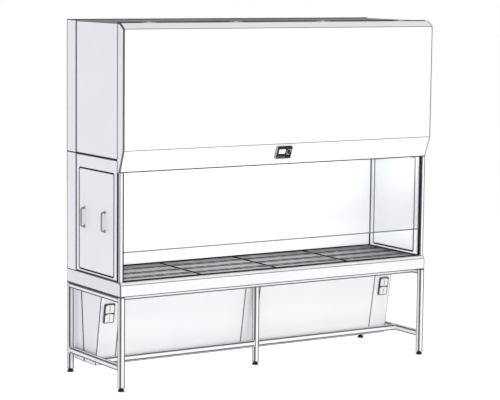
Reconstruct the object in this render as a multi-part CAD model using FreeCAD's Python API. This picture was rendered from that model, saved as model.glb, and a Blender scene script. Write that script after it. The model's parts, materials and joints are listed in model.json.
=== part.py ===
import FreeCAD, Part
import os
import math
from FreeCAD import Vector as V

os.makedirs("parts", exist_ok=True)

# ---------------------------------------------------------------------------
# Driving dimensions, millimetres.  x runs along the width with 0 at the middle,
# y = 0 is the front plane of the cabinet body and grows to the back, z = 0 is
# the floor.  Everything is shifted by -Y_MID in y on export, so that the origin
# is the middle of the footprint.
# ---------------------------------------------------------------------------
W = 2700.0                 # body width
HX = W / 2                 # half width, 1350
Z_TOP = 2602.0             # top of the body
Y_BACK = 768.0             # back of the rear duct
Y_DUCT = 622.0             # front of the rear duct
Z_WORK = 781.0             # worktop and top of the base pan
Z_BASE = 676.0             # underside of the base pan
Z_STAND = 671.0            # top of the stand, below a rubber strip
Z_SEAM = 1645.0            # joint between lower and upper modules
SEAM = 8.0                 # height of that joint
SEAL_IN = 1.2              # how far the joint strips lie behind the panels
SHEET = 2.0                # sheet thickness of panels
WALL = 41.5                # double-skin side wall
XI = HX - WALL             # inner face of the side walls, 1308.5

APRON_Y = -50.0            # apron front face
APRON_FOLD_Z = 760.0       # where its chamfer starts
APRON_TOP_Y = -33.0        # front edge of the base's top
PAN = 2.5                  # base pan sheet

TUBE = 40.0                # stand tube, square
TUBE_T = 2.0               # its wall
Z_LEG = 28.0               # lower end of the leg tubes
Y_MIDLEG = 257.0           # front of middle leg and long stretcher
Z_STR = 147.0              # underside of the stretchers

HATCH_Y0, HATCH_Y1 = 52.0, 564.0
HATCH_Z0, HATCH_Z1 = 812.0, 1538.0
HATCH_R = 8.0
GASKET = 12.0              # gasket width round the hatch
HANDLE_Y = (179.0, 488.0)  # the two handles of a hatch
HANDLE_Z0, HANDLE_Z1 = 1121.0, 1256.0
HANDLE_OUT = 28.0          # bar centre from the hatch face
HANDLE_R = 6.5             # bar radius

TRAYS = 4
TRAY_X = 1302.0            # half length of the row of trays
TRAY_Y0, TRAY_Y1 = -10.0, 609.0
TRAY_H = 26.0              # depth of a tray's folded rim
TRAY_GAP = 11.0            # joint between trays, filled by a rubber strip
BANDS = 7                  # plain, slotted, plain, ...

COVER_GAP = 3.0            # gap between cover and body
# front cover, outer profile from the top rear edge to the lower lip (y, z)
COVER = [(-COVER_GAP, 2602.0), (-31.0, 2602.0), (-87.0, 2561.0), (-87.0, 1714.0), (-28.0, 1557.0)]
HINGE_Y, HINGE_Z = -1.5, 2604.9
HINGE_R, HINGE_PIN = 2.75, 1.4
HINGE_X = (-1100.0, -380.0, 380.0, 1100.0)

RAIL_X0, RAIL_X1 = 1316.0, 1346.0
RAIL_Y0, RAIL_YU, RAIL_Y1 = -31.0, -25.0, -10.0
RAIL_TOP = 2240.0
GLASS_T = 6.0
GLASS_Y0 = -20.0
GLASS_X = 1328.0
GLASS_Z0, GLASS_Z1 = 988.0, 1860.0

CABLE_X = 1200.0
CABLE_R = 2.0
PULLEY_R = 21.0            # cable centre line on the pulley
PULLEY_Z = 2550.0
CABLE_Y = GLASS_Y0 + GLASS_T / 2
PULLEY_Y = CABLE_Y - PULLEY_R
CW_Z0, CW_Z1 = 2060.0, 2310.0
CW_HALF_X, CW_HALF_Y = 121.7, 20.0   # the two weights together balance the sash

# control panel on the cover's lower chamfer
CP_W, CP_H, CP_T = 134.0, 95.0, 18.0
CP_S = 65.75               # centre, measured down the chamfer from its top edge

# under-bench plenum, end profile (y, z)
PL_TF, PL_BF = (301.0, 676.0), (400.0, 105.0)
PL_BR, PL_TR = (568.0, 105.0), (616.0, 676.0)
PL_BACK = 726.0
PL_X = 1308.0
OUT_X = 1234.0             # outlet centre
OUT_Z = 497.0

FAN_X = 650.0
Y_MID = 335.317              # middle of the footprint, see the last lines


# ---------------------------------------------------------------------------
# helpers
# ---------------------------------------------------------------------------
def box(x0, x1, y0, y1, z0, z1):
    return Part.makeBox(x1 - x0, y1 - y0, z1 - z0, V(x0, y0, z0))


def prism(pts, x0, x1):
    w = Part.makePolygon([V(x0, y, z) for y, z in pts] + [V(x0, pts[0][0], pts[0][1])])
    return Part.Face(w).extrude(V(x1 - x0, 0, 0))


def cyl(p, d, r, h):
    return Part.makeCylinder(r, h, V(*p), V(*d))


def fuse(*s):
    s = [i for i in s]
    out = s[0].multiFuse(s[1:]) if len(s) > 1 else s[0]
    return out.removeSplitter()


def cut(a, *b):
    out = a.cut(Part.Compound(list(b)) if len(b) > 1 else b[0])
    return out


def mirror(s):
    return s.mirror(V(0, 0, 0), V(1, 0, 0))


def both(s):
    return [s, mirror(s)]


def rrect(w, h, r):
    """Face of a rounded rectangle w x h in the local xy plane, centred."""
    a, b = w / 2, h / 2
    k = r * (1 - math.sqrt(0.5))
    e = [
        Part.makeLine(V(-a + r, -b, 0), V(a - r, -b, 0)),
        Part.Arc(V(a - r, -b, 0), V(a - k, -b + k, 0), V(a, -b + r, 0)).toShape(),
        Part.makeLine(V(a, -b + r, 0), V(a, b - r, 0)),
        Part.Arc(V(a, b - r, 0), V(a - k, b - k, 0), V(a - r, b, 0)).toShape(),
        Part.makeLine(V(a - r, b, 0), V(-a + r, b, 0)),
        Part.Arc(V(-a + r, b, 0), V(-a + k, b - k, 0), V(-a, b - r, 0)).toShape(),
        Part.makeLine(V(-a, b - r, 0), V(-a, -b + r, 0)),
        Part.Arc(V(-a, -b + r, 0), V(-a + k, -b + k, 0), V(-a + r, -b, 0)).toShape(),
    ]
    return Part.Face(Part.Wire(e))


def rbox(w, h, r, n0, n1, cx=0.0, cy=0.0):
    s = rrect(w, h, r)
    s.translate(V(cx, cy, n0))
    return s.extrude(V(0, 0, n1 - n0))


def rslab_x(y0, y1, z0, z1, r, x0, x1):
    """Rounded rectangle in the yz plane, extruded from x0 to x1."""
    s = rrect(y1 - y0, z1 - z0, r)
    s.rotate(V(0, 0, 0), V(1, 1, 1), 120)      # x>y, y>z, z>x
    s.translate(V(x0, (y0 + y1) / 2, (z0 + z1) / 2))
    return s.extrude(V(x1 - x0, 0, 0))


def tube(x0, x1, y0, y1, z0, z1, axis, t=TUBE_T):
    o = box(x0, x1, y0, y1, z0, z1)
    g = [[x0 + t, x1 - t], [y0 + t, y1 - t], [z0 + t, z1 - t]]
    full = [[x0 - 1, x1 + 1], [y0 - 1, y1 + 1], [z0 - 1, z1 + 1]]
    g[axis] = full[axis]
    return o.cut(box(g[0][0], g[0][1], g[1][0], g[1][1], g[2][0], g[2][1]))


def line_cross(p, d, q, e):
    den = d[0] * e[1] - d[1] * e[0]
    t = ((q[0] - p[0]) * e[1] - (q[1] - p[1]) * e[0]) / den
    return (p[0] + t * d[0], p[1] + t * d[1])


def offset_path(pts, ts):
    """Offset each segment of an open path to its left by ts[i] and rejoin them."""
    seg = []
    for (a, b), t in zip(zip(pts, pts[1:]), ts):
        dy, dz = b[0] - a[0], b[1] - a[1]
        n = math.hypot(dy, dz)
        o = (-dz / n * t, dy / n * t)
        seg.append(((a[0] + o[0], a[1] + o[1]), (dy / n, dz / n)))
    out = [seg[0][0]]
    for (p, d), (q, e) in zip(seg, seg[1:]):
        out.append(line_cross(p, d, q, e))
    a, b = pts[-2], pts[-1]
    p, d = seg[-1]
    L = math.hypot(b[0] - a[0], b[1] - a[1])
    out.append((p[0] + d[0] * L, p[1] + d[1] * L))
    return out, seg[-1][1]


def place(s, ang, o):
    """Local x, up-the-slope, outward frame put on a sloping front face."""
    s = s.copy()
    s.rotate(V(0, 0, 0), V(1, 0, 0), ang)
    s.translate(V(*o))
    return s


nodes = {}


def node(name, *shapes):
    lst = []
    for s in shapes:
        lst += s if isinstance(s, list) else [s]
    nodes[name] = lst


# ---------------------------------------------------------------------------
# stand
# ---------------------------------------------------------------------------
XL = HX - TUBE                                     # inner face of the corner legs
YF0, YF1 = APRON_Y, APRON_Y + TUBE                 # front legs
YR0, YR1 = Y_BACK - TUBE, Y_BACK                   # rear legs
legs = []
for y0 in (YF0, YR0):
    legs += both(tube(-HX, -XL, y0, y0 + TUBE, Z_LEG, Z_STAND, 2))
legs.append(tube(-TUBE / 2, TUBE / 2, Y_MIDLEG, Y_MIDLEG + TUBE, Z_LEG, Z_STAND, 2))
node("stand_legs", legs)

rails = []
rails += both(tube(-HX, -XL, YF1, YR0, Z_BASE - TUBE, Z_STAND, 1))
rails.append(tube(-XL, XL, 55, 95, Z_BASE - TUBE, Z_STAND, 0))
rails.append(tube(-XL, XL, YR0, YR1, Z_BASE - TUBE, Z_STAND, 0))
rails += both(tube(-HX, -XL, YF1, YR0, Z_STR, Z_STR + TUBE, 1))
rails += both(tube(-XL, -TUBE / 2, Y_MIDLEG, Y_MIDLEG + TUBE, Z_STR, Z_STR + TUBE, 0))
node("stand_rails", rails)
strips = both(box(-HX + SEAL_IN, -XL - SEAL_IN, YF0 + SEAL_IN, YR1 - SEAL_IN, Z_STAND, Z_BASE))
strips.append(box(-XL, XL, 57, 93, Z_STAND, Z_BASE))
strips.append(box(-XL, XL, YR0 + 2, YR1 - SEAL_IN, Z_STAND, Z_BASE))
strips.append(box(-TUBE / 2 + 1, TUBE / 2 - 1, Y_MIDLEG + 1, Y_MIDLEG + TUBE - 1, Z_STAND, Z_BASE))

foot_xy = {
    "front_left": (-HX + TUBE / 2, YF0 + TUBE / 2),
    "front_right": (HX - TUBE / 2, YF0 + TUBE / 2),
    "rear_left": (-HX + TUBE / 2, YR0 + TUBE / 2),
    "rear_right": (HX - TUBE / 2, YR0 + TUBE / 2),
    "middle": (0.0, Y_MIDLEG + TUBE / 2),
}
plug = fuse(box(-20, 20, -20, 20, 24, 28), box(-17.8, 17.8, -17.8, 17.8, 28, 58))
plug = cut(plug, cyl((0, 0, 20), (0, 0, 1), 5.06, 50))
hexa = Part.Face(Part.makePolygon([V(9.8 * math.cos(math.radians(60 * i)), 9.8 * math.sin(math.radians(60 * i)), 18)
                                   for i in range(7)])).extrude(V(0, 0, 5))
prof = [V(0, 0, 0), V(23, 0, 0), V(24, 0, 1), V(24, 0, 5), V(19, 0, 17), V(18, 0, 18), V(0, 0, 18)]
disc = Part.Face(Part.makePolygon(prof + [prof[0]])).revolve(V(0, 0, 0), V(0, 0, 1), 360)
foot = fuse(disc, hexa, cyl((0, 0, 17), (0, 0, 1), 5.0, 45))
plugs = []
for k, (fx, fy) in foot_xy.items():
    p = plug.copy()
    p.translate(V(fx, fy, 0))
    plugs.append(p)
    f = foot.copy()
    f.translate(V(fx, fy, 0))
    node("foot_" + k, f)
node("leg_plugs", plugs)

# ---------------------------------------------------------------------------
# base pan, tray bearers, trays
# ---------------------------------------------------------------------------
o = [(APRON_Y, Z_BASE), (APRON_Y, APRON_FOLD_Z), (APRON_TOP_Y, Z_WORK), (Y_BACK, Z_WORK), (Y_BACK, Z_BASE)]
i = [(APRON_Y + PAN, Z_BASE + PAN), (APRON_Y + PAN, APRON_FOLD_Z - 0.96), (APRON_TOP_Y + 1.19, Z_WORK - PAN),
     (Y_BACK - PAN, Z_WORK - PAN), (Y_BACK - PAN, Z_BASE + PAN)]
pan = cut(prism(o, -HX, HX), prism(i, -HX + PAN, HX - PAN))
pan = cut(pan, box(-1304.5, 1304.5, -12, 612, Z_WORK - 10, Z_WORK + 10),
          box(-1290, 1290, 640, 750, Z_WORK - 10, Z_WORK + 10),
          box(-1290, 1290, 420, 596, Z_BASE - 5, Z_BASE + 5),
          box(-1290, 1290, 630, 716, Z_BASE - 5, Z_BASE + 5))
node("base_pan", pan)

pitch = 2 * TRAY_X / TRAYS
z_bear = Z_WORK - TRAY_H
bear = []
for n in range(TRAYS + 1):
    x = -TRAY_X + n * pitch
    x0, x1 = x - 20, x + 20
    if n == 0:
        x0, x1 = -1304, -1270
    if n == TRAYS:
        x0, x1 = 1270, 1304
    bear.append(fuse(box(x0, x1, -44, 624, z_bear - 20, z_bear),
                     box(x0, x1, -44, -24, Z_BASE + PAN, z_bear - 20),
                     box(x0, x1, 600, 624, Z_BASE + PAN, z_bear - 20)))
node("tray_bearers", bear)

tl = pitch - TRAY_GAP
tw = TRAY_Y1 - TRAY_Y0
tray = cut(box(0, tl, TRAY_Y0, TRAY_Y1, z_bear, Z_WORK),
           box(2, tl - 2, TRAY_Y0 + 2, TRAY_Y1 - 2, z_bear - 1, Z_WORK - 2))
band = tw / BANDS
slots = []
for b in range(1, BANDS, 2):
    yc = TRAY_Y0 + (b + 0.5) * band
    for r in range(-2, 3):
        for c in range(6):
            xs = tl / 2 + (c - 2.5) * 104.0
            slots.append(box(xs - 46, xs + 46, yc + r * 16 - 4, yc + r * 16 + 4, Z_WORK - 5, Z_WORK + 5))
tray = cut(tray, *slots)
for n in range(TRAYS):
    t = tray.copy()
    t.translate(V(-TRAY_X + n * pitch + TRAY_GAP / 2, 0, 0))
    node("worktop_tray_%d" % (n + 1), t)

# ---------------------------------------------------------------------------
# chamber side walls with hatches
# ---------------------------------------------------------------------------
zl0, zl1 = Z_WORK + 6, Z_SEAM - SEAM / 2
ys = Y_DUCT - 4
yp = Y_DUCT - SEAM         # rear edge of the side panels
g = GASKET
hole = rslab_x(HATCH_Y0 - g, HATCH_Y1 + g, HATCH_Z0 - g, HATCH_Z1 + g, HATCH_R + g, -HX - 5, -XI + 5)
jamb = rslab_x(HATCH_Y0 - g - 2, HATCH_Y1 + g + 2, HATCH_Z0 - g - 2, HATCH_Z1 + g + 2, HATCH_R + g + 2, -HX + 1, -XI - SHEET)
outer = cut(box(-HX, -XI - SHEET, 0, yp, zl0, zl1), box(-HX + SHEET, -XI, SHEET, yp - SHEET, zl0 + SHEET, zl1 - SHEET))
outer = cut(fuse(outer, jamb), hole)
liner = cut(box(-XI - SHEET, -XI, 0, yp, zl0, zl1), hole)
node("lower_side_panels", both(outer), both(liner))

ring = cut(rslab_x(HATCH_Y0 - g + .15, HATCH_Y1 + g - .15, HATCH_Z0 - g + .15, HATCH_Z1 + g - .15, HATCH_R + g - .15, -HX + .4, -XI - 1),
           rslab_x(HATCH_Y0 - .5, HATCH_Y1 + .5, HATCH_Z0 - .5, HATCH_Z1 + .5, HATCH_R + .5, -HX - 5, -XI + 5))
hskin = cut(rslab_x(HATCH_Y0, HATCH_Y1, HATCH_Z0, HATCH_Z1, HATCH_R, -HX, -XI - SHEET),
            rslab_x(HATCH_Y0 + SHEET, HATCH_Y1 - SHEET, HATCH_Z0 + SHEET, HATCH_Z1 - SHEET, HATCH_R - SHEET, -HX + SHEET, -XI))
hliner = rslab_x(HATCH_Y0, HATCH_Y1, HATCH_Z0, HATCH_Z1, HATCH_R, -XI - SHEET, -XI)
node("hatch_left", hskin, hliner)
node("hatch_right", mirror(hskin), mirror(hliner))


def d_handle(y):
    x0, x1 = -HX, -HX - HANDLE_OUT
    r = 14.0
    prof = Part.Face(Part.Wire(Part.makeCircle(HANDLE_R, V(x0, y, HANDLE_Z0), V(1, 0, 0))))
    q = r * (1 - math.sqrt(0.5))
    path = Part.Wire([
        Part.makeLine(V(x0, y, HANDLE_Z0), V(x1 + r, y, HANDLE_Z0)),
        Part.Arc(V(x1 + r, y, HANDLE_Z0), V(x1 + q, y, HANDLE_Z0 + q), V(x1, y, HANDLE_Z0 + r)).toShape(),
        Part.makeLine(V(x1, y, HANDLE_Z0 + r), V(x1, y, HANDLE_Z1 - r)),
        Part.Arc(V(x1, y, HANDLE_Z1 - r), V(x1 + q, y, HANDLE_Z1 - q), V(x1 + r, y, HANDLE_Z1)).toShape(),
        Part.makeLine(V(x1 + r, y, HANDLE_Z1), V(x0, y, HANDLE_Z1)),
    ])
    bar = path.makePipe(prof)
    fl = [cyl((x0, y, z), (-1, 0, 0), 12.0, 4.0) for z in (HANDLE_Z0, HANDLE_Z1)]
    return fuse(bar, *fl)


hl = [d_handle(y) for y in HANDLE_Y]
node("hatch_left_handles", hl)
node("hatch_right_handles", [mirror(h) for h in hl])

# ---------------------------------------------------------------------------
# chamber back wall, rear duct, upper casing, joint strips
# ---------------------------------------------------------------------------
node("back_wall", box(-1308, 1308, Y_DUCT - 4, Y_DUCT - 2, Z_WORK, 1690))


def duct(z0, z1):
    return cut(box(-HX, HX, Y_DUCT, Y_BACK, z0, z1), box(-HX + SHEET, HX - SHEET, Y_DUCT - 10, Y_BACK - SHEET, z0 - 1, z1 + 1))


zu0, zu1 = Z_SEAM + SEAM / 2, Z_TOP - SHEET
node("rear_duct_casings", duct(Z_WORK, zl1), duct(zu0, zu1))

upper = cut(box(-HX, -XL, 0, yp, zu0, zu1), box(-HX + SHEET, -XL + 5, SHEET, yp - SHEET, zu0 + SHEET, zu1 - SHEET))
node("upper_side_panels", both(upper))

grille = []
for r in range(2):
    for c in range(25):
        xs = (c - 12) * 36.0
        yb = 130 + r * 200
        grille.append(box(xs - 7, xs + 7, yb, yb + 180, Z_TOP - 10, Z_TOP + 10))
node("top_panel", cut(box(-HX, HX, 0, Y_BACK, Z_TOP - SHEET, Z_TOP), *grille))

seals = strips
sx = -HX + SEAL_IN
seals += both(box(sx, -XL - 2, 0, yp, zl1, zu0))
seals += both(box(-HX - 3, -XI, yp, Y_DUCT, zl0, zu1))
seals += both(box(sx, -XL - 2, 2, yp - 2, Z_WORK, zl0))
# strip in the joint of the rear duct, on a backing band inside the sheet
ring_d = cut(box(sx, -sx, Y_DUCT, Y_BACK - SEAL_IN, zl1, zu0), box(-HX + 5, HX - 5, Y_DUCT - 1, Y_BACK - 5, zl1 - 1, zu0 + 1))
band_d = cut(box(-HX + SHEET, HX - SHEET, Y_DUCT, Y_BACK - SHEET, zl1 - 8, zu0 + 8),
             box(-HX + 5, HX - 5, Y_DUCT - 1, Y_BACK - 5, zl1 - 9, zu0 + 9))
seals.append(fuse(ring_d, band_d))
# edge strip behind the rear edge of the cover, and trim down the outside of the posts
seals += both(box(-HX - 2.5, -RAIL_X1, -COVER_GAP + 0.3, 0, 1553, 2590))
seals += both(box(-HX + 0.8, -RAIL_X1, -16, 0, Z_WORK, 1553))
# worktop seals along the back wall and the side walls, and strips between the trays
seals.append(box(-1298, 1298, 612.5, ys, Z_WORK, Z_WORK + 10))
seals += both(box(-XI, -1298, -8, yp, Z_WORK, Z_WORK + 8))
for n in range(1, TRAYS):
    x = -TRAY_X + n * pitch
    w = TRAY_GAP / 2 - 0.5
    sec = [(-w, z_bear), (w, z_bear), (w, Z_WORK + 4), (w - 2, Z_WORK + 6), (2 - w, Z_WORK + 6), (-w, Z_WORK + 4)]
    seals.append(Part.Face(Part.makePolygon([V(x + a, TRAY_Y0, b) for a, b in sec + sec[:1]])).extrude(V(0, TRAY_Y1 - TRAY_Y0, 0)))
# bead in the rear corners of the chamber, edge seals on the top panel
arc = [V(-XI + 8 * math.cos(math.radians(a)), ys - 8 * math.sin(math.radians(a)), Z_WORK + 8) for a in range(0, 91, 15)]
arc.append(V(-XI, ys, Z_WORK + 8))
seals += both(Part.Face(Part.makePolygon(arc + arc[:1])).extrude(V(0, 0, 1638 - Z_WORK - 8)))
seals.append(box(-1346, 1346, Y_BACK - 10, Y_BACK - 1, Z_TOP, Z_TOP + 5))
gaps = [-1400.0] + list(HINGE_X) + [1400.0]
for a, b in zip(gaps, gaps[1:]):
    seals.append(box(a + 54, b - 54, 4, 10, Z_TOP, Z_TOP + 5.5))
node("casing_seals", seals, both(ring))

node("front_bulkhead", box(-1308, 1308, 0, SHEET, 1560, zu1))

# ---------------------------------------------------------------------------
# air handling inside the upper casing
# ---------------------------------------------------------------------------
ZD = 1640.0
dif = fuse(box(-1308, 1308, 2, ys, ZD, ZD + 3), cut(box(-1308, 1308, 2, ys, ZD + 3, 1690), box(-1306, 1306, 4, ys - 2, ZD, 1700)))
ds = []
for c in range(36):
    for r in range(6):
        xs, yc = (c - 17.5) * 70.0, 90 + r * 90
        ds.append(box(xs - 25, xs + 25, yc - 5, yc + 5, ZD - 5, ZD + 6))
node("air_diffuser", cut(dif, *ds))

lamp = prism([(14, ZD), (14, ZD - 26), (22, ZD - 34), (46, ZD - 34), (54, ZD - 26), (54, ZD)], -1250, -30)
node("lamps", both(lamp))


def filt(x0, x1, y0, y1, z0, z1, m):
    f = cut(box(x0, x1, y0, y1, z0, z1), box(x0 + 25, x1 - 25, y0 + 25, y1 - 25, z0 - 1, z1 + 1))
    zc = (z0 + z1) / 2
    return fuse(f, box(x0 + 20, x1 - 20, y0 + 20, y1 - 20, zc - m / 2, zc + m / 2))


node("supply_filters", both(filt(-1306, -2, 4, 614, 1690, 1840, 30)))
node("exhaust_filter", filt(-470, 470, 110, 550, 2460, zu1, 30))

fh = cut(box(-290, 290, 20, 600, 1840, 2110), box(-288, 288, 22, 598, 1830, 2108), cyl((0, 310, 2090), (0, 0, 1), 130, 40))
fh = fuse(fh, box(-288, 288, 270, 350, 1864, 1870))
mot = fuse(cyl((0, 310, 1870), (0, 0, 1), 70, 105), cyl((0, 310, 1975), (0, 0, 1), 9.5, 70))
imp = [cyl((0, 310, 1990), (0, 0, 1), 185, 3), cyl((0, 310, 1985), (0, 0, 1), 32, 50),
       cyl((0, 310, 2073), (0, 0, 1), 185, 3).cut(cyl((0, 310, 2070), (0, 0, 1), 118, 10))]
for n in range(7):
    b = box(70, 178, 310 - 22, 310 - 18, 1992, 2074)
    b.rotate(V(120, 310, 0), V(0, 0, 1), 28)
    b.rotate(V(0, 310, 0), V(0, 0, 1), 360.0 / 7 * n)
    imp.append(b)
imp = cut(fuse(*imp), cyl((0, 310, 1980), (0, 0, 1), 9.56, 80))
for k, s in (("left", -1), ("right", 1)):
    p = imp.copy()
    p.translate(V(s * FAN_X, 0, 0))
    node("fan_impeller_" + k, p)
hs, ms = [], []
for s in (-1, 1):
    a, b = fh.copy(), mot.copy()
    a.translate(V(s * FAN_X, 0, 0))
    b.translate(V(s * FAN_X, 0, 0))
    hs.append(a)
    ms.append(b)
node("fan_housings", hs)
node("fan_motors", ms)

node("electrical_box", cut(box(-300, 300, -60, 0, 2290, 2540), box(-298, 298, -50, -2, 2292, 2538)).cut(box(-250, 250, -70, -40, 2330, 2500)))

# ---------------------------------------------------------------------------
# sash, guide rails and counterbalance
# ---------------------------------------------------------------------------
rail = fuse(box(RAIL_X0, RAIL_X1, RAIL_Y0, RAIL_Y1, Z_WORK, 1553), box(RAIL_X0, RAIL_X1, RAIL_YU, RAIL_Y1, 1553, RAIL_TOP))
rail = cut(rail, box(RAIL_X0 - 1, 1334, -23, RAIL_Y1 + 1, Z_WORK - 1, RAIL_TOP + 1),
           box(RAIL_X0 - 1, RAIL_X0 + 2, -28, -22, Z_WORK + 10, 1553))
node("sash_rails", both(rail))
lin = cut(box(RAIL_X0, 1334, -23, RAIL_Y1, Z_WORK, RAIL_TOP), box(RAIL_X0 - 1, 1331, -21, -13, Z_WORK - 1, RAIL_TOP + 1))
strip = box(RAIL_X0, RAIL_X1, RAIL_Y1, 0, Z_WORK, RAIL_TOP)
lip = box(RAIL_X0 - 5, RAIL_X0 + 2, -28, -23, Z_WORK + 10, 1553)
landing = prism([(-26, Z_WORK), (-26, Z_WORK + 7), (-24, Z_WORK + 9), (-15, Z_WORK + 9), (-13, Z_WORK + 7), (-13, Z_WORK)], -1314, 1314)
# edge strips down the front of the posts
edges = both(box(RAIL_X0, RAIL_X0 + 7, RAIL_Y0 - 1.5, RAIL_Y0, Z_WORK, 1553)) + both(box(RAIL_X1 - 4.5, RAIL_X1, RAIL_Y0 - 1.5, RAIL_Y0, Z_WORK, 1553))
node("sash_rail_seals", both(lin), both(strip), both(lip), landing, edges)

node("sash_glass", box(-GLASS_X, GLASS_X, GLASS_Y0, GLASS_Y0 + GLASS_T, GLASS_Z0, GLASS_Z1))
clamp = cut(box(CABLE_X - 40, CABLE_X + 40, GLASS_Y0 - 6, GLASS_Y0 + GLASS_T + 6, GLASS_Z1 - 30, GLASS_Z1 + 20),
            box(CABLE_X - 50, CABLE_X + 50, GLASS_Y0, GLASS_Y0 + GLASS_T, GLASS_Z1 - 40, GLASS_Z1))
node("sash_clamps", both(clamp))

c1 = cyl((CABLE_X, CABLE_Y, GLASS_Z1 + 20), (0, 0, 1), CABLE_R, PULLEY_Z - GLASS_Z1 - 20)
c2 = cyl((CABLE_X, PULLEY_Y - PULLEY_R, CW_Z1), (0, 0, 1), CABLE_R, PULLEY_Z - CW_Z1)
cf = Part.Face(Part.Wire(Part.makeCircle(CABLE_R, V(CABLE_X, CABLE_Y, PULLEY_Z), V(0, 0, 1))))
c3 = cf.revolve(V(CABLE_X, PULLEY_Y, PULLEY_Z), V(1, 0, 0), 180)
node("sash_cables", both(fuse(c1, c2, c3)))

for k, s in (("left", -1), ("right", 1)):
    xc = s * CABLE_X
    cy = PULLEY_Y - PULLEY_R
    node("counterweight_" + k, box(xc - CW_HALF_X, xc + CW_HALF_X, cy - CW_HALF_Y, cy + CW_HALF_Y, CW_Z0, CW_Z1))
    w = cyl((xc - 8, PULLEY_Y, PULLEY_Z), (1, 0, 0), 24, 16)
    w = cut(w, cyl((xc - 2.6, PULLEY_Y, PULLEY_Z), (1, 0, 0), 30, 5.2).cut(cyl((xc - 3, PULLEY_Y, PULLEY_Z), (1, 0, 0), 18.4, 6)))
    w = cut(w, cyl((xc - 10, PULLEY_Y, PULLEY_Z), (1, 0, 0), 5.06, 20))
    node("pulley_" + k, w)
brk = fuse(box(CABLE_X - 30, CABLE_X + 30, -3, 0, 2515, 2585),
           box(CABLE_X - 14, CABLE_X - 10, PULLEY_Y - 12, -3, 2535, 2565),
           box(CABLE_X + 10, CABLE_X + 14, PULLEY_Y - 12, -3, 2535, 2565),
           cyl((CABLE_X - 14, PULLEY_Y, PULLEY_Z), (1, 0, 0), 5.0, 28))
node("pulley_brackets", both(brk))

# ---------------------------------------------------------------------------
# front cover and its hinges
# ---------------------------------------------------------------------------
inner, d = offset_path(COVER, [SHEET] * 4)
last = inner[-1]
ext = (last[0] + d[0] * 30, last[1] + d[1] * 30)
ip = [(30.0, inner[0][1])] + inner[1:-1] + [ext, (30.0, ext[1])]
op = COVER + [(-COVER_GAP, COVER[-1][1])]
cover = cut(prism(op, -HX, HX), prism(ip, -HX + SHEET, HX - SHEET))
leaves, fixed = [], []
for hx in HINGE_X:
    kz0, kz1 = HINGE_Z - HINGE_R + 0.05, Z_TOP + 1.5
    m = fuse(box(hx - 50, hx + 50, -22, HINGE_Y - 3.7, Z_TOP, kz1), box(hx - 17, hx + 17, HINGE_Y - 4.5, HINGE_Y, kz0, kz1),
             cyl((hx - 17, HINGE_Y, HINGE_Z), (1, 0, 0), HINGE_R, 34))
    leaves.append(cut(m, cyl((hx - 20, HINGE_Y, HINGE_Z), (1, 0, 0), HINGE_PIN + 0.06, 40)))
    f = [box(hx - 50, hx + 50, HINGE_Y + 3.7, 20, Z_TOP, kz1), cyl((hx - 50, HINGE_Y, HINGE_Z), (1, 0, 0), HINGE_PIN, 100)]
    for a in (hx - 50, hx + 18):
        f += [box(a, a + 32, HINGE_Y, HINGE_Y + 4.5, kz0, kz1), cyl((a, HINGE_Y, HINGE_Z), (1, 0, 0), HINGE_R, 32)]
    fixed.append(fuse(*f))
node("front_cover", cover, leaves)
node("cover_hinges", fixed)

# ---------------------------------------------------------------------------
# control panel, in the frame of the cover's lower chamfer
# ---------------------------------------------------------------------------
(ya, za), (yb, zb) = COVER[3], COVER[4]
LC = math.hypot(yb - ya, zb - za)
dy, dz = (yb - ya) / LC, (zb - za) / LC
CP_O = (0.0, ya + dy * CP_S, za + dz * CP_S)
CP_ANG = math.degrees(math.atan2(-dz, -dy))
DISP, KNOB = (-19.5, 11.0), (41.0, 7.0)
KEY_U, KEY_X = -33.0, (-46.0, -22.0, 2.0)

hous = rbox(CP_W, CP_H, 7, 0, CP_T)
rim = [e for e in hous.Edges if all(abs(v.Z - CP_T) < 1e-6 for v in e.Vertexes)]
hous = hous.makeChamfer(2.5, rim)
hous = cut(hous, box(DISP[0] - 27.3, DISP[0] + 27.3, DISP[1] - 16.8, DISP[1] + 16.8, CP_T - 2, CP_T + 1),
           cyl((KNOB[0], KNOB[1], CP_T - 8), (0, 0, 1), 3.06, 20),
           *[box(x - 10.4, x + 10.4, KEY_U - 4.4, KEY_U + 4.4, CP_T - 6, CP_T + 1) for x in KEY_X])
node("control_panel", place(hous, CP_ANG, CP_O))
node("control_display", place(box(DISP[0] - 27.0, DISP[0] + 27.0, DISP[1] - 16.5, DISP[1] + 16.5, CP_T - 2, CP_T - 0.4), CP_ANG, CP_O))
kn = cyl((KNOB[0], KNOB[1], CP_T + 0.6), (0, 0, 1), 17, 13)
top = [e for e in kn.Edges if all(abs(v.Z - CP_T - 13.6) < 1e-6 for v in e.Vertexes) and len(e.Vertexes) == 1 and e.Length > 90]
kn = kn.makeChamfer(1.5, top)
kn = fuse(kn, cyl((KNOB[0], KNOB[1], CP_T - 6), (0, 0, 1), 3.0, 8))
node("control_knob", place(kn, CP_ANG, CP_O))
for n, x in enumerate(KEY_X):
    k = box(x - 10, x + 10, KEY_U - 4, KEY_U + 4, CP_T - 3.5, CP_T + 1.5)
    node("control_key_%d" % (n + 1), place(k, CP_ANG, CP_O))

# ---------------------------------------------------------------------------
# under-bench plenum, access covers, outlets
# ---------------------------------------------------------------------------
LP = math.hypot(PL_BF[0] - PL_TF[0], PL_BF[1] - PL_TF[1])
py, pz = (PL_BF[0] - PL_TF[0]) / LP, (PL_BF[1] - PL_TF[1]) / LP
P_ANG = math.degrees(math.atan2(-pz, -py))
P_O = (0.0, PL_TF[0], PL_TF[1])

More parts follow.
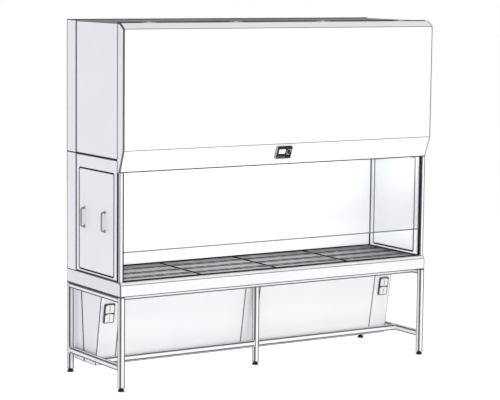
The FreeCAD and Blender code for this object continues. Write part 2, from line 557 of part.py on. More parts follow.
ph = [PL_TF, PL_BF, PL_BR, PL_TR]
pin, _ = offset_path(ph, [4.0, 2.0, 2.0])
up0 = (pin[0][0] - py * 30, pin[0][1] - pz * 30)
hop = cut(prism(ph, -PL_X, PL_X), prism([up0] + pin[1:3] + [(pin[3][0] + (PL_TR[0] - PL_BR[0]) * 0.05, pin[3][1] + (PL_TR[1] - PL_BR[1]) * 0.05)], -PL_X + 2, PL_X - 2))
u_out = -(PL_TF[1] - OUT_Z) / -pz
tools = []
for s in (-1, 1):
    x0, x1 = sorted((s * 1152.0, s * 59.0))
    tools.append(place(box(x0, x1, -LP + 8, -8, -2, 5), P_ANG, P_O))
    tools.append(place(box(x0 + 32, x1 - 32, -LP + 40, -40, -10, 1), P_ANG, P_O))
    tools.append(place(box(s * OUT_X - 34, s * OUT_X + 34, u_out - 64, u_out + 64, -10, 5), P_ANG, P_O))
way = box(-1200, 1200, 540, 620, 150, 400)
hop = cut(hop, *(tools + [way]))
J = 6.0                                            # joint between hopper and duct, with a gasket frame
pd = [(PL_TR[0] + J, PL_TR[1]), (PL_BR[0] + J, PL_BR[1]), (PL_BACK, PL_BR[1]), (PL_BACK, PL_TR[1])]
pdi, _ = offset_path(pd, [2.0, 2.0, 2.0])
k = 0.05
dct = cut(prism(pd, -PL_X, PL_X),
          prism([(pdi[0][0] - (PL_BR[0] - PL_TR[0]) * k, pdi[0][1] - (PL_BR[1] - PL_TR[1]) * k)] + pdi[1:3] + [(pdi[3][0], pdi[3][1] + 28)], -PL_X + 2, PL_X - 2), way)
node("plenum_casings", hop, dct)
gas = prism([PL_TR, PL_BR, (PL_BR[0] + J, PL_BR[1]), (PL_TR[0] + J, PL_TR[1])], -PL_X + SEAL_IN, PL_X - SEAL_IN)
gas = cut(gas, box(-1285, 1285, 500, 700, PL_BR[1] + 22, PL_TR[1] - 22))
node("casing_seals", nodes["casing_seals"], gas)
covs = []
for s in (-1, 1):
    x0, x1 = sorted((s * 1150.0, s * 61.0))
    covs.append(place(box(x0, x1, -LP + 10, -10, -2, 0), P_ANG, P_O))
node("plenum_covers", covs)

boxes = []
HU = {"upper": 63.0, "lower": -7.0}                # hinge line of each lid, up the slope
HN = 13.2
for side, s in (("left", -1), ("right", 1)):
    bz = fuse(rbox(86, 146, 9, 0, 10), box(-32, 32, -62, 62, -42, 0))
    bits = []
    for h in HU.values():
        bits += [box(25.5, 31, h - 2.5, h + 2.5, 8, 15.6), box(-31, -25.5, h - 2.5, h + 2.5, 8, 15.6), cyl((-31, h, HN), (1, 0, 0), 1.3, 62)]
    bz = fuse(bz, *bits)
    sock = []
    for h in HU.values():
        sock += [cyl((0, h - 31, -10), (0, 0, 1), 19.5, 30), cyl((-9.5, h - 31, -24), (0, 0, 1), 2.6, 30), cyl((9.5, h - 31, -24), (0, 0, 1), 2.6, 30)]
    bz = cut(bz, *sock)
    org = (s * OUT_X, P_O[1] - py * u_out, P_O[2] - pz * u_out)
    boxes.append(place(bz, P_ANG, org))
    for name, h in HU.items():
        lid = fuse(box(-33, 33, h - 58, h - 4, 10.6, 15.6), box(-25, 25, h - 4, h, 10.8, 15.4), cyl((-25, h, HN), (1, 0, 0), 2.6, 50),
                   box(-1, 1, h - 53, h - 9, 15.6, 16.4))
        lid = cut(lid, cyl((-30, h, HN), (1, 0, 0), 1.36, 60))
        node("outlet_lid_%s_%s" % (side, name), place(lid, P_ANG, org))
node("outlet_boxes", boxes)

# ---------------------------------------------------------------------------
# panel screws on the back and the top
# ---------------------------------------------------------------------------
scr = []
for z in (800, 1080, 1350, 1625, 1665, 1960, 2270, 2580):
    for x in (-1330, -890, -445, 0, 445, 890, 1330):
        if z in (800, 1625, 1665, 2580) or abs(x) > 1300:
            scr.append(Part.makeCone(5.5, 4.0, 2.2, V(x, Y_BACK, z), V(0, 1, 0)))
for y in (30, 740):
    for x in (-1330, -890, -560, 0, 560, 890, 1330):
        scr.append(Part.makeCone(5.5, 4.0, 2.2, V(x, y, Z_TOP), V(0, 0, 1)))
node("panel_screws", scr)

# ---------------------------------------------------------------------------
# write the pieces
# ---------------------------------------------------------------------------
allb = FreeCAD.BoundBox()
total = 0
for name, lst in nodes.items():
    sol = []
    for s in lst:
        assert s.isValid(), name
        assert len(s.Solids) == 1, (name, len(s.Solids))
        sol.append(s.Solids[0])
    shape = Part.Compound(sol) if len(sol) > 1 else sol[0]
    shape = shape.copy()
    shape.translate(V(0, -Y_MID, 0))
    bb = shape.optimalBoundingBox(False, False)
    allb.add(bb)
    total += len(sol)
    shape.exportStep("parts/%s.step" % name)
print(len(nodes), "nodes", total, "solids")
print("box", [round(v, 3) for v in (allb.XMin, allb.XMax, allb.YMin, allb.YMax, allb.ZMin, allb.ZMax)], "y middle off", round((allb.YMin + allb.YMax) / 2, 4))
print("control panel frame", [round(v - (Y_MID if n == 1 else 0), 4) for n, v in enumerate(CP_O)], CP_ANG, "plenum frame", P_O, P_ANG, u_out)
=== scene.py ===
import json
import math
import bpy
import bmesh
from mathutils import Matrix, Vector
from mathutils.geometry import delaunay_2d_cdt


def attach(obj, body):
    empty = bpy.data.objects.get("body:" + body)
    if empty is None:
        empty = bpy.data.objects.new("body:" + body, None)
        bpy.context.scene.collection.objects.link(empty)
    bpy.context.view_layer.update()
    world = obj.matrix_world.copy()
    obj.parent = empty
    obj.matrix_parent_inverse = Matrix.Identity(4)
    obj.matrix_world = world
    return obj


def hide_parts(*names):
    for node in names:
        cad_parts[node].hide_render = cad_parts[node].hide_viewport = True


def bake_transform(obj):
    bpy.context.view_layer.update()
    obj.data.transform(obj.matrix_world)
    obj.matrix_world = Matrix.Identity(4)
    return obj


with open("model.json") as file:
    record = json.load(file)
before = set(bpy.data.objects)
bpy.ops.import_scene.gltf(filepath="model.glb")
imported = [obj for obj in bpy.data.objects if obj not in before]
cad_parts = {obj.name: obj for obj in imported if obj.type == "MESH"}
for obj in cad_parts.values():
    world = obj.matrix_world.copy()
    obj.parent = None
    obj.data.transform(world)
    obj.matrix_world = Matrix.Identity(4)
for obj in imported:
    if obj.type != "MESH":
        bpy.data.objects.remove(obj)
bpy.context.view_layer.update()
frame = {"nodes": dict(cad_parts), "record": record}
NODES = frame["nodes"]
RECORD = frame["record"]
BODY = {n: b for b, ns in RECORD["behaviour"]["bodies"].items() for n in ns}
SLOT = {s["node"]: s["material_slot"] for s in RECORD["subparts"]}
SCENE = bpy.context.scene
RAD = math.radians
Y0 = -0.335317                      # y of the cabinet body's front plane in the row frame


def P(x, y, z):
    """Millimetres from the middle of the body's front plane at floor level, to the row frame."""
    return Vector((x / 1000.0, y / 1000.0 + Y0, z / 1000.0))


# ---------------------------------------------------------------------------
# camera, light, floor
# ---------------------------------------------------------------------------
def make_camera():
    yaw, pitch, roll = RAD(32.8097), RAD(-6.9607), RAD(0.64657)
    fwd = Vector((math.sin(yaw) * math.cos(pitch), math.cos(yaw) * math.cos(pitch), math.sin(pitch)))
    right = Vector((math.cos(yaw), -math.sin(yaw), 0.0))
    up = right.cross(fwd)
    r2 = math.cos(roll) * right + math.sin(roll) * up
    u2 = -math.sin(roll) * right + math.cos(roll) * up
    cam = bpy.data.cameras.new("camera")
    cam.sensor_fit = "HORIZONTAL"
    cam.sensor_width = 36.0
    cam.lens = 136.68
    cam.clip_start, cam.clip_end = 0.1, 2000.0
    ob = bpy.data.objects.new("camera", cam)
    m = Matrix.Identity(4)
    for i in range(3):
        m[i][0], m[i][1], m[i][2] = r2[i], u2[i], -fwd[i]
    m[0][3], m[1][3], m[2][3] = -7.72159, -11.936667, 2.98772
    ob.matrix_world = m
    SCENE.collection.objects.link(ob)
    SCENE.camera = ob


def make_light():
    SCENE.view_settings.view_transform = "Standard"
    SCENE.view_settings.look = "None"
    world = bpy.data.worlds.new("studio")
    SCENE.world = world
    world.use_nodes = True
    nt = world.node_tree
    nt.nodes.clear()
    out = nt.nodes.new("ShaderNodeOutputWorld")
    bg = nt.nodes.new("ShaderNodeBackground")
    bg.inputs["Strength"].default_value = 0.72
    tc = nt.nodes.new("ShaderNodeTexCoord")
    sep = nt.nodes.new("ShaderNodeSeparateXYZ")
    ramp = nt.nodes.new("ShaderNodeValToRGB")
    ramp.color_ramp.elements[0].position = 0.04
    ramp.color_ramp.elements[0].color = (0.925, 0.910, 1.0, 1.0)
    ramp.color_ramp.elements[1].position = 0.95
    ramp.color_ramp.elements[1].color = (0.86, 0.86, 0.87, 1.0)
    mid = ramp.color_ramp.elements.new(0.50)
    mid.color = (0.84, 0.84, 0.85, 1.0)
    nt.links.new(tc.outputs["Generated"], sep.inputs[0])
    nt.links.new(sep.outputs["Z"], ramp.inputs["Fac"])
    nt.links.new(ramp.outputs["Color"], bg.inputs["Color"])
    nt.links.new(bg.outputs["Background"], out.inputs["Surface"])

    def area(name, where, to, size, power, colour):
        li = bpy.data.lights.new(name, "AREA")
        li.shape = "RECTANGLE"
        li.size, li.size_y = size
        li.energy = power
        li.color = colour
        ob = bpy.data.objects.new(name, li)
        ob.location = where
        ob.rotation_mode = "QUATERNION"
        ob.rotation_quaternion = (Vector(to) - Vector(where)).to_track_quat("-Z", "Y")
        ob.visible_glossy = False
        ob.visible_transmission = False
        SCENE.collection.objects.link(ob)
        return ob

    area("key_front", (0.2, -8.5, 6.6), (0.1, 0.0, 1.5), (7.0, 3.0), 194.0, (1.0, 1.0, 0.975))
    area("fill_left", (-9.0, -1.2, 2.4), (-1.2, 0.1, 1.4), (4.0, 3.0), 37.0, (0.64, 0.58, 1.0))
    area("fill_low", (-0.5, -9.0, 0.9), (0.1, 0.2, 1.1), (9.0, 1.3), 262.0, (1.0, 1.0, 0.98))
    area("fill_back", (-3.5, 8.0, 2.2), (0.0, 0.0, 1.4), (5.0, 2.6), 150.0, (1.0, 1.0, 1.0))


def make_floor():
    bm = bmesh.new()
    bmesh.ops.create_circle(bm, cap_ends=True, radius=600.0, segments=96)
    me = bpy.data.meshes.new("floor")
    bm.to_mesh(me)
    bm.free()
    ob = bpy.data.objects.new("floor", me)
    SCENE.collection.objects.link(ob)
    mat = bpy.data.materials.new("pale_floor")
    mat.use_nodes = True
    nt = mat.node_tree
    b = nt.nodes["Principled BSDF"]
    tc = nt.nodes.new("ShaderNodeTexCoord")
    nz = nt.nodes.new("ShaderNodeTexNoise")
    nz.inputs["Scale"].default_value = 1.3
    nz.inputs["Detail"].default_value = 4.0
    ramp = nt.nodes.new("ShaderNodeValToRGB")
    ramp.color_ramp.elements[0].color = (0.80, 0.80, 0.81, 1)
    ramp.color_ramp.elements[1].color = (0.83, 0.83, 0.835, 1)
    nt.links.new(tc.outputs["Object"], nz.inputs["Vector"])
    nt.links.new(nz.outputs["Fac"], ramp.inputs["Fac"])
    nt.links.new(ramp.outputs["Color"], b.inputs["Base Color"])
    b.inputs["Roughness"].default_value = 0.85
    b.inputs["Specular IOR Level"].default_value = 0.1
    b.inputs["Emission Color"].default_value = (1, 1, 1, 1)
    b.inputs["Emission Strength"].default_value = 0.49
    me.materials.append(mat)


make_camera()
make_light()
make_floor()


# ---------------------------------------------------------------------------
# materials: every finish is a node network in object coordinates, in metres
# ---------------------------------------------------------------------------
class Mat:
    def __init__(self, name):
        self.mat = bpy.data.materials.new(name)
        self.mat.use_nodes = True
        self.nt = self.mat.node_tree
        self.b = self.nt.nodes["Principled BSDF"]
        self.tc = self.nt.nodes.new("ShaderNodeTexCoord")

    def put(self, socket, value):
        self.b.inputs[socket].default_value = value

    def link(self, a, b):
        self.nt.links.new(a, b)

    def coords(self, scale=(1, 1, 1), rot=(0, 0, 0)):
        m = self.nt.nodes.new("ShaderNodeMapping")
        m.inputs["Scale"].default_value = scale
        m.inputs["Rotation"].default_value = rot
        self.link(self.tc.outputs["Object"], m.inputs["Vector"])
        return m.outputs["Vector"]

    def noise(self, scale, detail=2.0, rough=0.5, vec=None):
        n = self.nt.nodes.new("ShaderNodeTexNoise")
        n.inputs["Scale"].default_value = scale
        n.inputs["Detail"].default_value = detail
        n.inputs["Roughness"].default_value = rough
        self.link(vec if vec is not None else self.tc.outputs["Object"], n.inputs["Vector"])
        return n.outputs["Fac"]

    def voronoi(self, scale, feature="F1", vec=None, out="Distance"):
        n = self.nt.nodes.new("ShaderNodeTexVoronoi")
        n.feature = feature
        n.inputs["Scale"].default_value = scale
        self.link(vec if vec is not None else self.tc.outputs["Object"], n.inputs["Vector"])
        return n.outputs[out]

    def ramp(self, fac, stops):
        r = self.nt.nodes.new("ShaderNodeValToRGB")
        e = r.color_ramp.elements
        e[0].position, e[1].position = stops[0][0], stops[-1][0]
        e[0].color = (*stops[0][1], 1)
        e[1].color = (*stops[-1][1], 1)
        for pos, col in stops[1:-1]:
            k = e.new(pos)
            k.color = (*col, 1)
        self.link(fac, r.inputs["Fac"])
        return r.outputs["Color"]

    def span(self, fac, lo, hi, a=0.3, b=0.7):
        r = self.nt.nodes.new("ShaderNodeMapRange")
        r.inputs["From Min"].default_value = a
        r.inputs["From Max"].default_value = b
        r.inputs["To Min"].default_value = lo
        r.inputs["To Max"].default_value = hi
        self.link(fac, r.inputs["Value"])
        return r.outputs["Result"]

    def mul(self, a, b):
        n = self.nt.nodes.new("ShaderNodeMix")
        n.data_type = "RGBA"
        n.blend_type = "MULTIPLY"
        n.inputs["Factor"].default_value = 1.0
        self.link(a, n.inputs[6])
        self.link(b, n.inputs[7])
        return n.outputs[2]

    def blend(self, fac, a, b):
        n = self.nt.nodes.new("ShaderNodeMix")
        n.data_type = "RGBA"
        self.link(fac, n.inputs["Factor"])
        self.link(a, n.inputs[6])
        self.link(b, n.inputs[7])
        return n.outputs[2]

    def bump(self, *layers):
        """layers are (height, strength, distance in metres)."""
        last = None
        for h, s, d in layers:
            n = self.nt.nodes.new("ShaderNodeBump")
            n.inputs["Strength"].default_value = s
            n.inputs["Distance"].default_value = d
            self.link(h, n.inputs["Height"])
            if last is not None:
                self.link(last, n.inputs["Normal"])
            last = n.outputs["Normal"]
        self.link(last, self.b.inputs["Normal"])


def powder_coat(name, lo, hi, r=(0.36, 0.50)):
    """Satin powder coat: broad tone drift, fine orange peel and a faint speckle in the gloss."""
    m = Mat(name)
    tone = m.ramp(m.noise(1.7, 5.0, 0.6), [(0.30, lo), (0.70, hi)])
    speck = m.ramp(m.noise(420.0, 2.0), [(0.25, (0.965, 0.965, 0.965)), (0.60, (1.0, 1.0, 1.0))])
    m.link(m.mul(tone, speck), m.b.inputs["Base Color"])
    m.link(m.span(m.noise(35.0, 4.0, 0.6), r[0], r[1]), m.b.inputs["Roughness"])
    m.put("Specular IOR Level", 0.45)
    m.bump((m.noise(650.0, 2.0), 0.12, 0.0005), (m.noise(60.0, 1.0), 0.05, 0.002))
    return m.mat


def brushed(name, base, along="x", r=(0.24, 0.38), dark=0.82):
    """Brushed stainless: long fine scratches along one axis, with a slow change of gloss across the sheet."""
    m = Mat(name)
    s = {"x": (3.0, 700.0, 700.0), "y": (700.0, 3.0, 700.0), "z": (700.0, 700.0, 3.0)}[along]
    v = m.coords(s)
    line = m.noise(1.0, 3.0, 0.65, v)
    d = tuple(c * dark for c in base)
    tone = m.ramp(line, [(0.30, d), (0.72, base)])
    drift = m.ramp(m.noise(5.0, 3.0), [(0.3, (0.93, 0.93, 0.935)), (0.7, (1, 1, 1))])
    m.link(m.mul(tone, drift), m.b.inputs["Base Color"])
    m.put("Metallic", 1.0)
    m.link(m.span(line, r[0], r[1]), m.b.inputs["Roughness"])
    m.bump((line, 0.10, 0.0003))
    return m.mat


def plastic(name, lo, hi, r=(0.40, 0.52), grain=1400.0, depth=0.25, spec=0.5):
    """Moulded plastic with a fine spark-eroded grain."""
    m = Mat(name)
    tone = m.ramp(m.noise(55.0, 4.0, 0.6), [(0.3, lo), (0.7, hi)])
    m.link(tone, m.b.inputs["Base Color"])
    m.link(m.span(m.noise(220.0, 3.0), r[0], r[1]), m.b.inputs["Roughness"])
    m.put("Specular IOR Level", spec)
    m.bump((m.noise(grain, 2.0), depth, 0.00015))
    return m.mat


def rubber(name):
    """Matt black EPDM with a dusty bloom and the fine lines of an extrusion."""
    m = Mat(name)
    bloom = m.ramp(m.noise(18.0, 5.0, 0.65), [(0.35, (0.010, 0.010, 0.011)), (0.75, (0.024, 0.024, 0.025))])
    m.link(bloom, m.b.inputs["Base Color"])
    m.link(m.span(m.noise(90.0, 3.0), 0.62, 0.82), m.b.inputs["Roughness"])
    m.put("Specular IOR Level", 0.06)
    m.bump((m.noise(1.0, 2.0, 0.5, m.coords((900.0, 900.0, 30.0))), 0.2, 0.0003))
    return m.mat


def galvanised(name, lo=(0.44, 0.45, 0.46), hi=(0.62, 0.63, 0.64), metal=0.85, r=(0.36, 0.56)):
    """Zinc-coated sheet with its spangle."""
    m = Mat(name)
    cell = m.voronoi(85.0, out="Color")
    sep = m.nt.nodes.new("ShaderNodeSeparateColor")
    m.link(cell, sep.inputs[0])
    tone = m.ramp(sep.outputs[0], [(0.0, lo), (1.0, hi)])
    m.link(tone, m.b.inputs["Base Color"])
    m.put("Metallic", metal)
    m.link(m.span(sep.outputs[1], r[0], r[1], 0.0, 1.0), m.b.inputs["Roughness"])
    m.bump((m.noise(240.0, 2.0), 0.10, 0.0004))
    return m.mat


def alloy(name):
    """Mill aluminium with a faint rolling grain."""
    m = Mat(name)
    g = m.noise(1.0, 3.0, 0.6, m.coords((6.0, 420.0, 420.0)))
    m.link(m.ramp(g, [(0.3, (0.66, 0.67, 0.68)), (0.7, (0.76, 0.77, 0.78))]), m.b.inputs["Base Color"])
    m.put("Metallic", 1.0)
    m.link(m.span(m.noise(14.0, 3.0), 0.34, 0.48), m.b.inputs["Roughness"])
    m.bump((g, 0.08, 0.0003))
    return m.mat


def clear_glass(name):
    """Laminated float glass: clear face on, greenish through the edge, with faint wiping marks."""
    m = Mat(name)
    m.link(m.ramp(m.noise(2.2, 3.0), [(0.2, (0.985, 0.990, 0.988)), (0.8, (0.994, 0.997, 0.996))]), m.b.inputs["Base Color"])
    m.put("Transmission Weight", 1.0)
    m.put("IOR", 1.45)
    smear = m.noise(1.0, 4.0, 0.65, m.coords((2.0, 9.0, 16.0), (0.0, 0.5, 0.0)))
    m.link(m.span(smear, 0.0, 0.035, 0.55, 0.85), m.b.inputs["Roughness"])
    return m.mat


def glass_edge(name):
    """The ground edge of the glass, frosted and grey-green."""
    m = Mat(name)
    m.link(m.ramp(m.noise(60.0, 4.0, 0.6), [(0.3, (0.16, 0.21, 0.19)), (0.7, (0.24, 0.30, 0.27))]), m.b.inputs["Base Color"])
    m.link(m.span(m.noise(300.0, 2.0), 0.35, 0.55), m.b.inputs["Roughness"])
    m.bump((m.noise(900.0, 2.0), 0.3, 0.0002))
    return m.mat


def iron_paint(name):
    """Black paint over a cast surface."""
    m = Mat(name)
    m.link(m.ramp(m.noise(40.0, 5.0, 0.7), [(0.3, (0.028, 0.028, 0.030)), (0.75, (0.055, 0.055, 0.058))]), m.b.inputs["Base Color"])
    m.link(m.span(m.noise(120.0, 3.0), 0.45, 0.7), m.b.inputs["Roughness"])
    m.bump((m.noise(260.0, 4.0, 0.7), 0.5, 0.0008))
    return m.mat


def pleats(name):
    """Glass-fibre paper folded into close pleats, as a bump, with the colour darkening into each fold as painted shade.
    """
    m = Mat(name)
    w = m.nt.nodes.new("ShaderNodeTexWave")
    w.wave_type = "BANDS"
    w.bands_direction = "X"
    w.inputs["Scale"].default_value = 55.0
    w.inputs["Distortion"].default_value = 0.4
    m.link(m.tc.outputs["Object"], w.inputs["Vector"])
    # darker at the bottom of each pleat: painted shade
    m.link(m.ramp(w.outputs["Fac"], [(0.0, (0.42, 0.41, 0.38)), (0.6, (0.78, 0.77, 0.72))]), m.b.inputs["Base Color"])
    m.link(m.span(m.noise(300.0, 3.0), 0.8, 0.95), m.b.inputs["Roughness"])
    m.bump((w.outputs["Fac"], 0.6, 0.004))
    return m.mat


def lamp_lens(name):
    """Opal ribbed cover over a lamp tube."""
    m = Mat(name)
    rib = m.nt.nodes.new("ShaderNodeTexWave")
    rib.wave_type = "BANDS"
    rib.bands_direction = "X"
    rib.inputs["Scale"].default_value = 60.0
    m.link(m.tc.outputs["Object"], rib.inputs["Vector"])
    m.link(m.ramp(rib.outputs["Fac"], [(0.0, (0.82, 0.82, 0.80)), (1.0, (0.90, 0.90, 0.89))]), m.b.inputs["Base Color"])
    m.link(m.ramp(rib.outputs["Fac"], [(0.0, (0.93, 0.95, 0.97)), (1.0, (1.0, 1.0, 1.0))]), m.b.inputs["Emission Color"])
    m.put("Emission Strength", 58.0)
    m.put("Roughness", 0.3)
    m.bump((rib.outputs["Fac"], 0.3, 0.001))
    return m.mat


def screen(name):
    """Backlit display: pale, with its pixel grid."""
    m = Mat(name)
    grid = m.nt.nodes.new("ShaderNodeTexBrick")
    grid.offset = 0.0
    grid.inputs["Color1"].default_value = (0.80, 0.84, 0.86, 1)
    grid.inputs["Color2"].default_value = (0.84, 0.87, 0.89, 1)
    grid.inputs["Mortar"].default_value = (0.55, 0.60, 0.63, 1)
    grid.inputs["Scale"].default_value = 1.0
    grid.inputs["Mortar Size"].default_value = 0.00006
    grid.inputs["Brick Width"].default_value = 0.0006
    grid.inputs["Row Height"].default_value = 0.0006
    swap = m.coords((1, 1, 1), (RAD(90.0), 0.0, 0.0))
    m.link(swap, grid.inputs["Vector"])
    m.link(grid.outputs["Color"], m.b.inputs["Base Color"])
    m.link(grid.outputs["Color"], m.b.inputs["Emission Color"])
    m.put("Emission Strength", 0.55)
    m.link(m.span(m.noise(200.0, 2.0), 0.06, 0.14), m.b.inputs["Roughness"])
    return m.mat


# dark coat for the folds and edges of the white and base coats: painted shade that outlines them
WHITE_EDGE_SHADE = powder_coat("white_coat_painted_edge_shade", (0.070, 0.070, 0.073), (0.125, 0.125, 0.129), (0.46, 0.62))
BASE_EDGE_SHADE = powder_coat("base_coat_painted_edge_shade", (0.070, 0.070, 0.073), (0.125, 0.125, 0.129), (0.46, 0.62))
WHITE = powder_coat("white_coat", (0.775, 0.775, 0.790), (0.805, 0.805, 0.815))
BASE = powder_coat("base_coat", (0.715, 0.715, 0.727), (0.745, 0.745, 0.756))
STEEL_X = brushed("stainless_along_x", (0.60, 0.60, 0.605), "x")
STEEL_TRAY = brushed("stainless_worktop", (0.182, 0.182, 0.184), "x", (0.28, 0.42))
# near-black steel for the slot walls and their margins: painted shade in the slots
STEEL_SLOT_SHADE = brushed("stainless_slot_painted_shade", (0.055, 0.055, 0.058), "z", (0.50, 0.70))
STEEL_Z = brushed("stainless_along_z", (0.60, 0.60, 0.605), "z", (0.22, 0.34))
STEEL_Y = brushed("stainless_along_y", (0.58, 0.58, 0.585), "y")
STEEL_GRIP = brushed("stainless_handle", (0.34, 0.34, 0.345), "z", (0.26, 0.38))
ANODISED = brushed("anodised_grey", (0.215, 0.215, 0.22), "x", (0.38, 0.52))
ZINC_BLACK = brushed("black_zinc", (0.035, 0.035, 0.037), "z", (0.42, 0.58))
CABLE = brushed("steel_cable", (0.46, 0.46, 0.47), "z", (0.30, 0.45))
ZINC = galvanised("galvanised")
# bare zinc for the top panel, made darker as painted shade on the top of the cabinet
ZINC_TOP_SHADE = galvanised("galvanised_top_painted_shade", (0.21, 0.213, 0.217), (0.29, 0.294, 0.299), 0.25, (0.62, 0.82))
# dark zinc for the top of the rear duct and the cover hinges: painted shade
ZINC_SHADE = galvanised("galvanised_painted_shade", (0.125, 0.127, 0.13), (0.175, 0.178, 0.182), 0.25, (0.66, 0.86))
IRON = iron_paint("steel_weight")
GLASS = clear_glass("glass")
GLASS_EDGE = glass_edge("glass_ground_edge")
ALU = alloy("aluminium")
RUBBER = rubber("black_rubber")
BLACK = plastic("black_plastic", (0.008, 0.008, 0.009), (0.014, 0.014, 0.015), (0.42, 0.55), spec=0.20)
GREY = plastic("grey_plastic", (0.048, 0.048, 0.051), (0.062, 0.062, 0.065), (0.42, 0.55), spec=0.30)
# light grey plastic for the ends of the control panel: a painted highlight on its sides
PANEL_END_HIGHLIGHT = plastic("panel_end_painted_highlight", (0.30, 0.30, 0.31), (0.36, 0.36, 0.37), (0.40, 0.52))
KNOB = plastic("knob_plastic", (0.010, 0.010, 0.011), (0.018, 0.018, 0.019), (0.40, 0.52), spec=0.25)
KEYS = plastic("key_plastic", (0.095, 0.095, 0.10), (0.125, 0.125, 0.13), (0.40, 0.50))
PLASTIC = plastic("white_plastic", (0.76, 0.76, 0.765), (0.80, 0.80, 0.80), (0.22, 0.34), 900.0, 0.08)
FILTER = pleats("filter_media")
LENS = lamp_lens("lamp_lens")
SCREEN = screen("display")

FINISH = {"white_coat": WHITE, "base_coat": BASE, "stainless": STEEL_X, "galvanised": ZINC, "steel_weight": IRON,
          "steel_cable": CABLE, "glass": GLASS, "aluminium": ALU, "black_rubber": RUBBER, "black_plastic": BLACK,
          "knob_plastic": KNOB, "key_plastic": KEYS, "display": SCREEN, "white_plastic": PLASTIC, "grey_plastic": GREY,
          "filter_media": FILTER}
# the cover hinges take the dark zinc as painted shade, so the shade along the top joint runs on
SPECIAL = {"cover_hinges": ZINC_SHADE, "hatch_left_handles": STEEL_GRIP, "hatch_right_handles": STEEL_GRIP, "lamps": LENS, "tray_bearers": STEEL_Y, **{"worktop_tray_%d" % i: STEEL_TRAY for i in range(1, 5)}}


# each painted finish with its dark coat of painted shade for the folds and edges
EDGE_SHADE_OF = {WHITE: WHITE_EDGE_SHADE, BASE: BASE_EDGE_SHADE}


def finish_of(node):
    return SPECIAL.get(node, FINISH[SLOT[node]])


for n, o in NODES.items():
    o.data.materials.clear()
    o.data.materials.append(finish_of(n))


# ---------------------------------------------------------------------------
# mesh helpers
# ---------------------------------------------------------------------------
def solids_of(node):
    """The node's solids one by one, each as clean polygons: one face for each flat of the sheet metal."""
    me = NODES[node].data
    me.calc_loop_triangles()
    key, weld, pos = {}, [], []
    for v in me.vertices:
        k = (round(v.co.x * 5e5), round(v.co.y * 5e5), round(v.co.z * 5e5))
        if k not in key:
            key[k] = len(pos)
            pos.append(v.co.copy())
        weld.append(key[k])
    runs, run, still_open = [], [], set()
    for t in me.loop_triangles:
        i, j, k = (weld[n] for n in t.vertices)
        if i == j or j == k or i == k:
            continue
        run.append((i, j, k))
        for a, b in ((i, j), (j, k), (k, i)):
            if (b, a) in still_open:
                still_open.discard((b, a))
            else:
                still_open.add((a, b))
        if not still_open:
            runs.append(run)
            run = []
    if run:
        runs.append(run)
    for run in runs:
        bm = bmesh.new()
        vs = {}
        for f in run:
            for i in f:
                if i not in vs:
                    vs[i] = bm.verts.new(pos[i])
            bm.faces.new([vs[i] for i in f])
        bm.normal_update()
        bmesh.ops.dissolve_limit(bm, angle_limit=RAD(0.6), use_dissolve_boundaries=False, verts=bm.verts, edges=bm.edges)
        bm.normal_update()
        yield bm


def sharp_convex(bm, limit=RAD(28.0)):
    return [e for e in bm.edges if len(e.link_faces) == 2 and e.is_convex and e.calc_face_angle(0.0) > limit]


def roll_edges(bm, edges, r, seg, mat=-1, clamp=True):
    if edges:
        bmesh.ops.bevel(bm, geom=edges, offset=r, offset_type="WIDTH", segments=seg, profile=0.5, affect="EDGES",
                        clamp_overlap=clamp, loop_slide=True, miter_outer="SHARP", miter_inner="SHARP", material=mat)


def flat_round(f):
    """The faces that lie in one flat with f and touch it through one another."""
    n, at, mat = f.normal.copy(), f.verts[0].co.copy(), f.material_index
    flat, todo = {f}, [f]
    while todo:
        for e in todo.pop().edges:
            for g in e.link_faces:
                if g not in flat and g.material_index == mat and g.normal.dot(n) > 0.9999 and all(abs((v.co - at).dot(n)) < 4e-6 for v in g.verts):
                    flat.add(g)
                    todo.append(g)
    return flat


def reseam(bm):
    """Moves the dividing lines of flats with holes from the corners to the middle of the holes, clear of the rounding."""
    done = set()
    for f in list(bm.faces):
        if not f.is_valid or f in done:
            continue
        flat = flat_round(f)
        done |= flat
        if len(flat) < 2:
            continue
        n = f.normal.copy()
        link = {}
        for e in {e for g in flat for e in g.edges}:
            if sum(g in flat for g in e.link_faces) == 1:
                for a, b in ((e.verts[0], e.verts[1]), (e.verts[1], e.verts[0])):
                    link.setdefault(a, []).append(b)
        loops = []
        while link:
            todo, loop = [next(iter(link))], []
            while todo:
                v = todo.pop()
                if v in link:
                    loop.append(v.co.copy())
                    todo += link.pop(v)
            loops.append(loop)
        size = [[max(c[a] for c in q) - min(c[a] for c in q) for a in range(3)] for q in loops]
        order = sorted(range(len(loops)), key=lambda i: -sum(size[i]))
        if not 1 < len(loops) < 14:
            continue
        big = order[0]
        axis = max((a for a in range(3) if abs(n[a]) < 0.8), key=lambda a: size[big][a])
        no = Vector([1.0 if a == axis else 0.0 for a in range(3)])
        cut = set()
        for i in order[1:]:
            at = min(c[axis] for c in loops[i]) + 0.487 * size[i][axis]
            geom = list(flat) + list({e for g in flat for e in g.edges}) + list({v for g in flat for v in g.verts})
            new = bmesh.ops.bisect_plane(bm, geom=geom, dist=1e-7, plane_co=no * at, plane_no=no)
            cut |= {e for e in new["geom_cut"] if isinstance(e, bmesh.types.BMEdge)}
            flat = {g for g in new["geom"] if isinstance(g, bmesh.types.BMFace)}
        old = [e for e in {e for g in flat for e in g.edges} if e not in cut and len(e.link_faces) == 2 and all(g in flat for g in e.link_faces)]
        bmesh.ops.dissolve_edges(bm, edges=old, use_verts=False, use_face_split=False)
        bm.normal_update()
        done |= {g for g in bm.faces if g.normal.dot(n) > 0.9999 and abs((g.verts[0].co - loops[big][0]).dot(n)) < 4e-6}


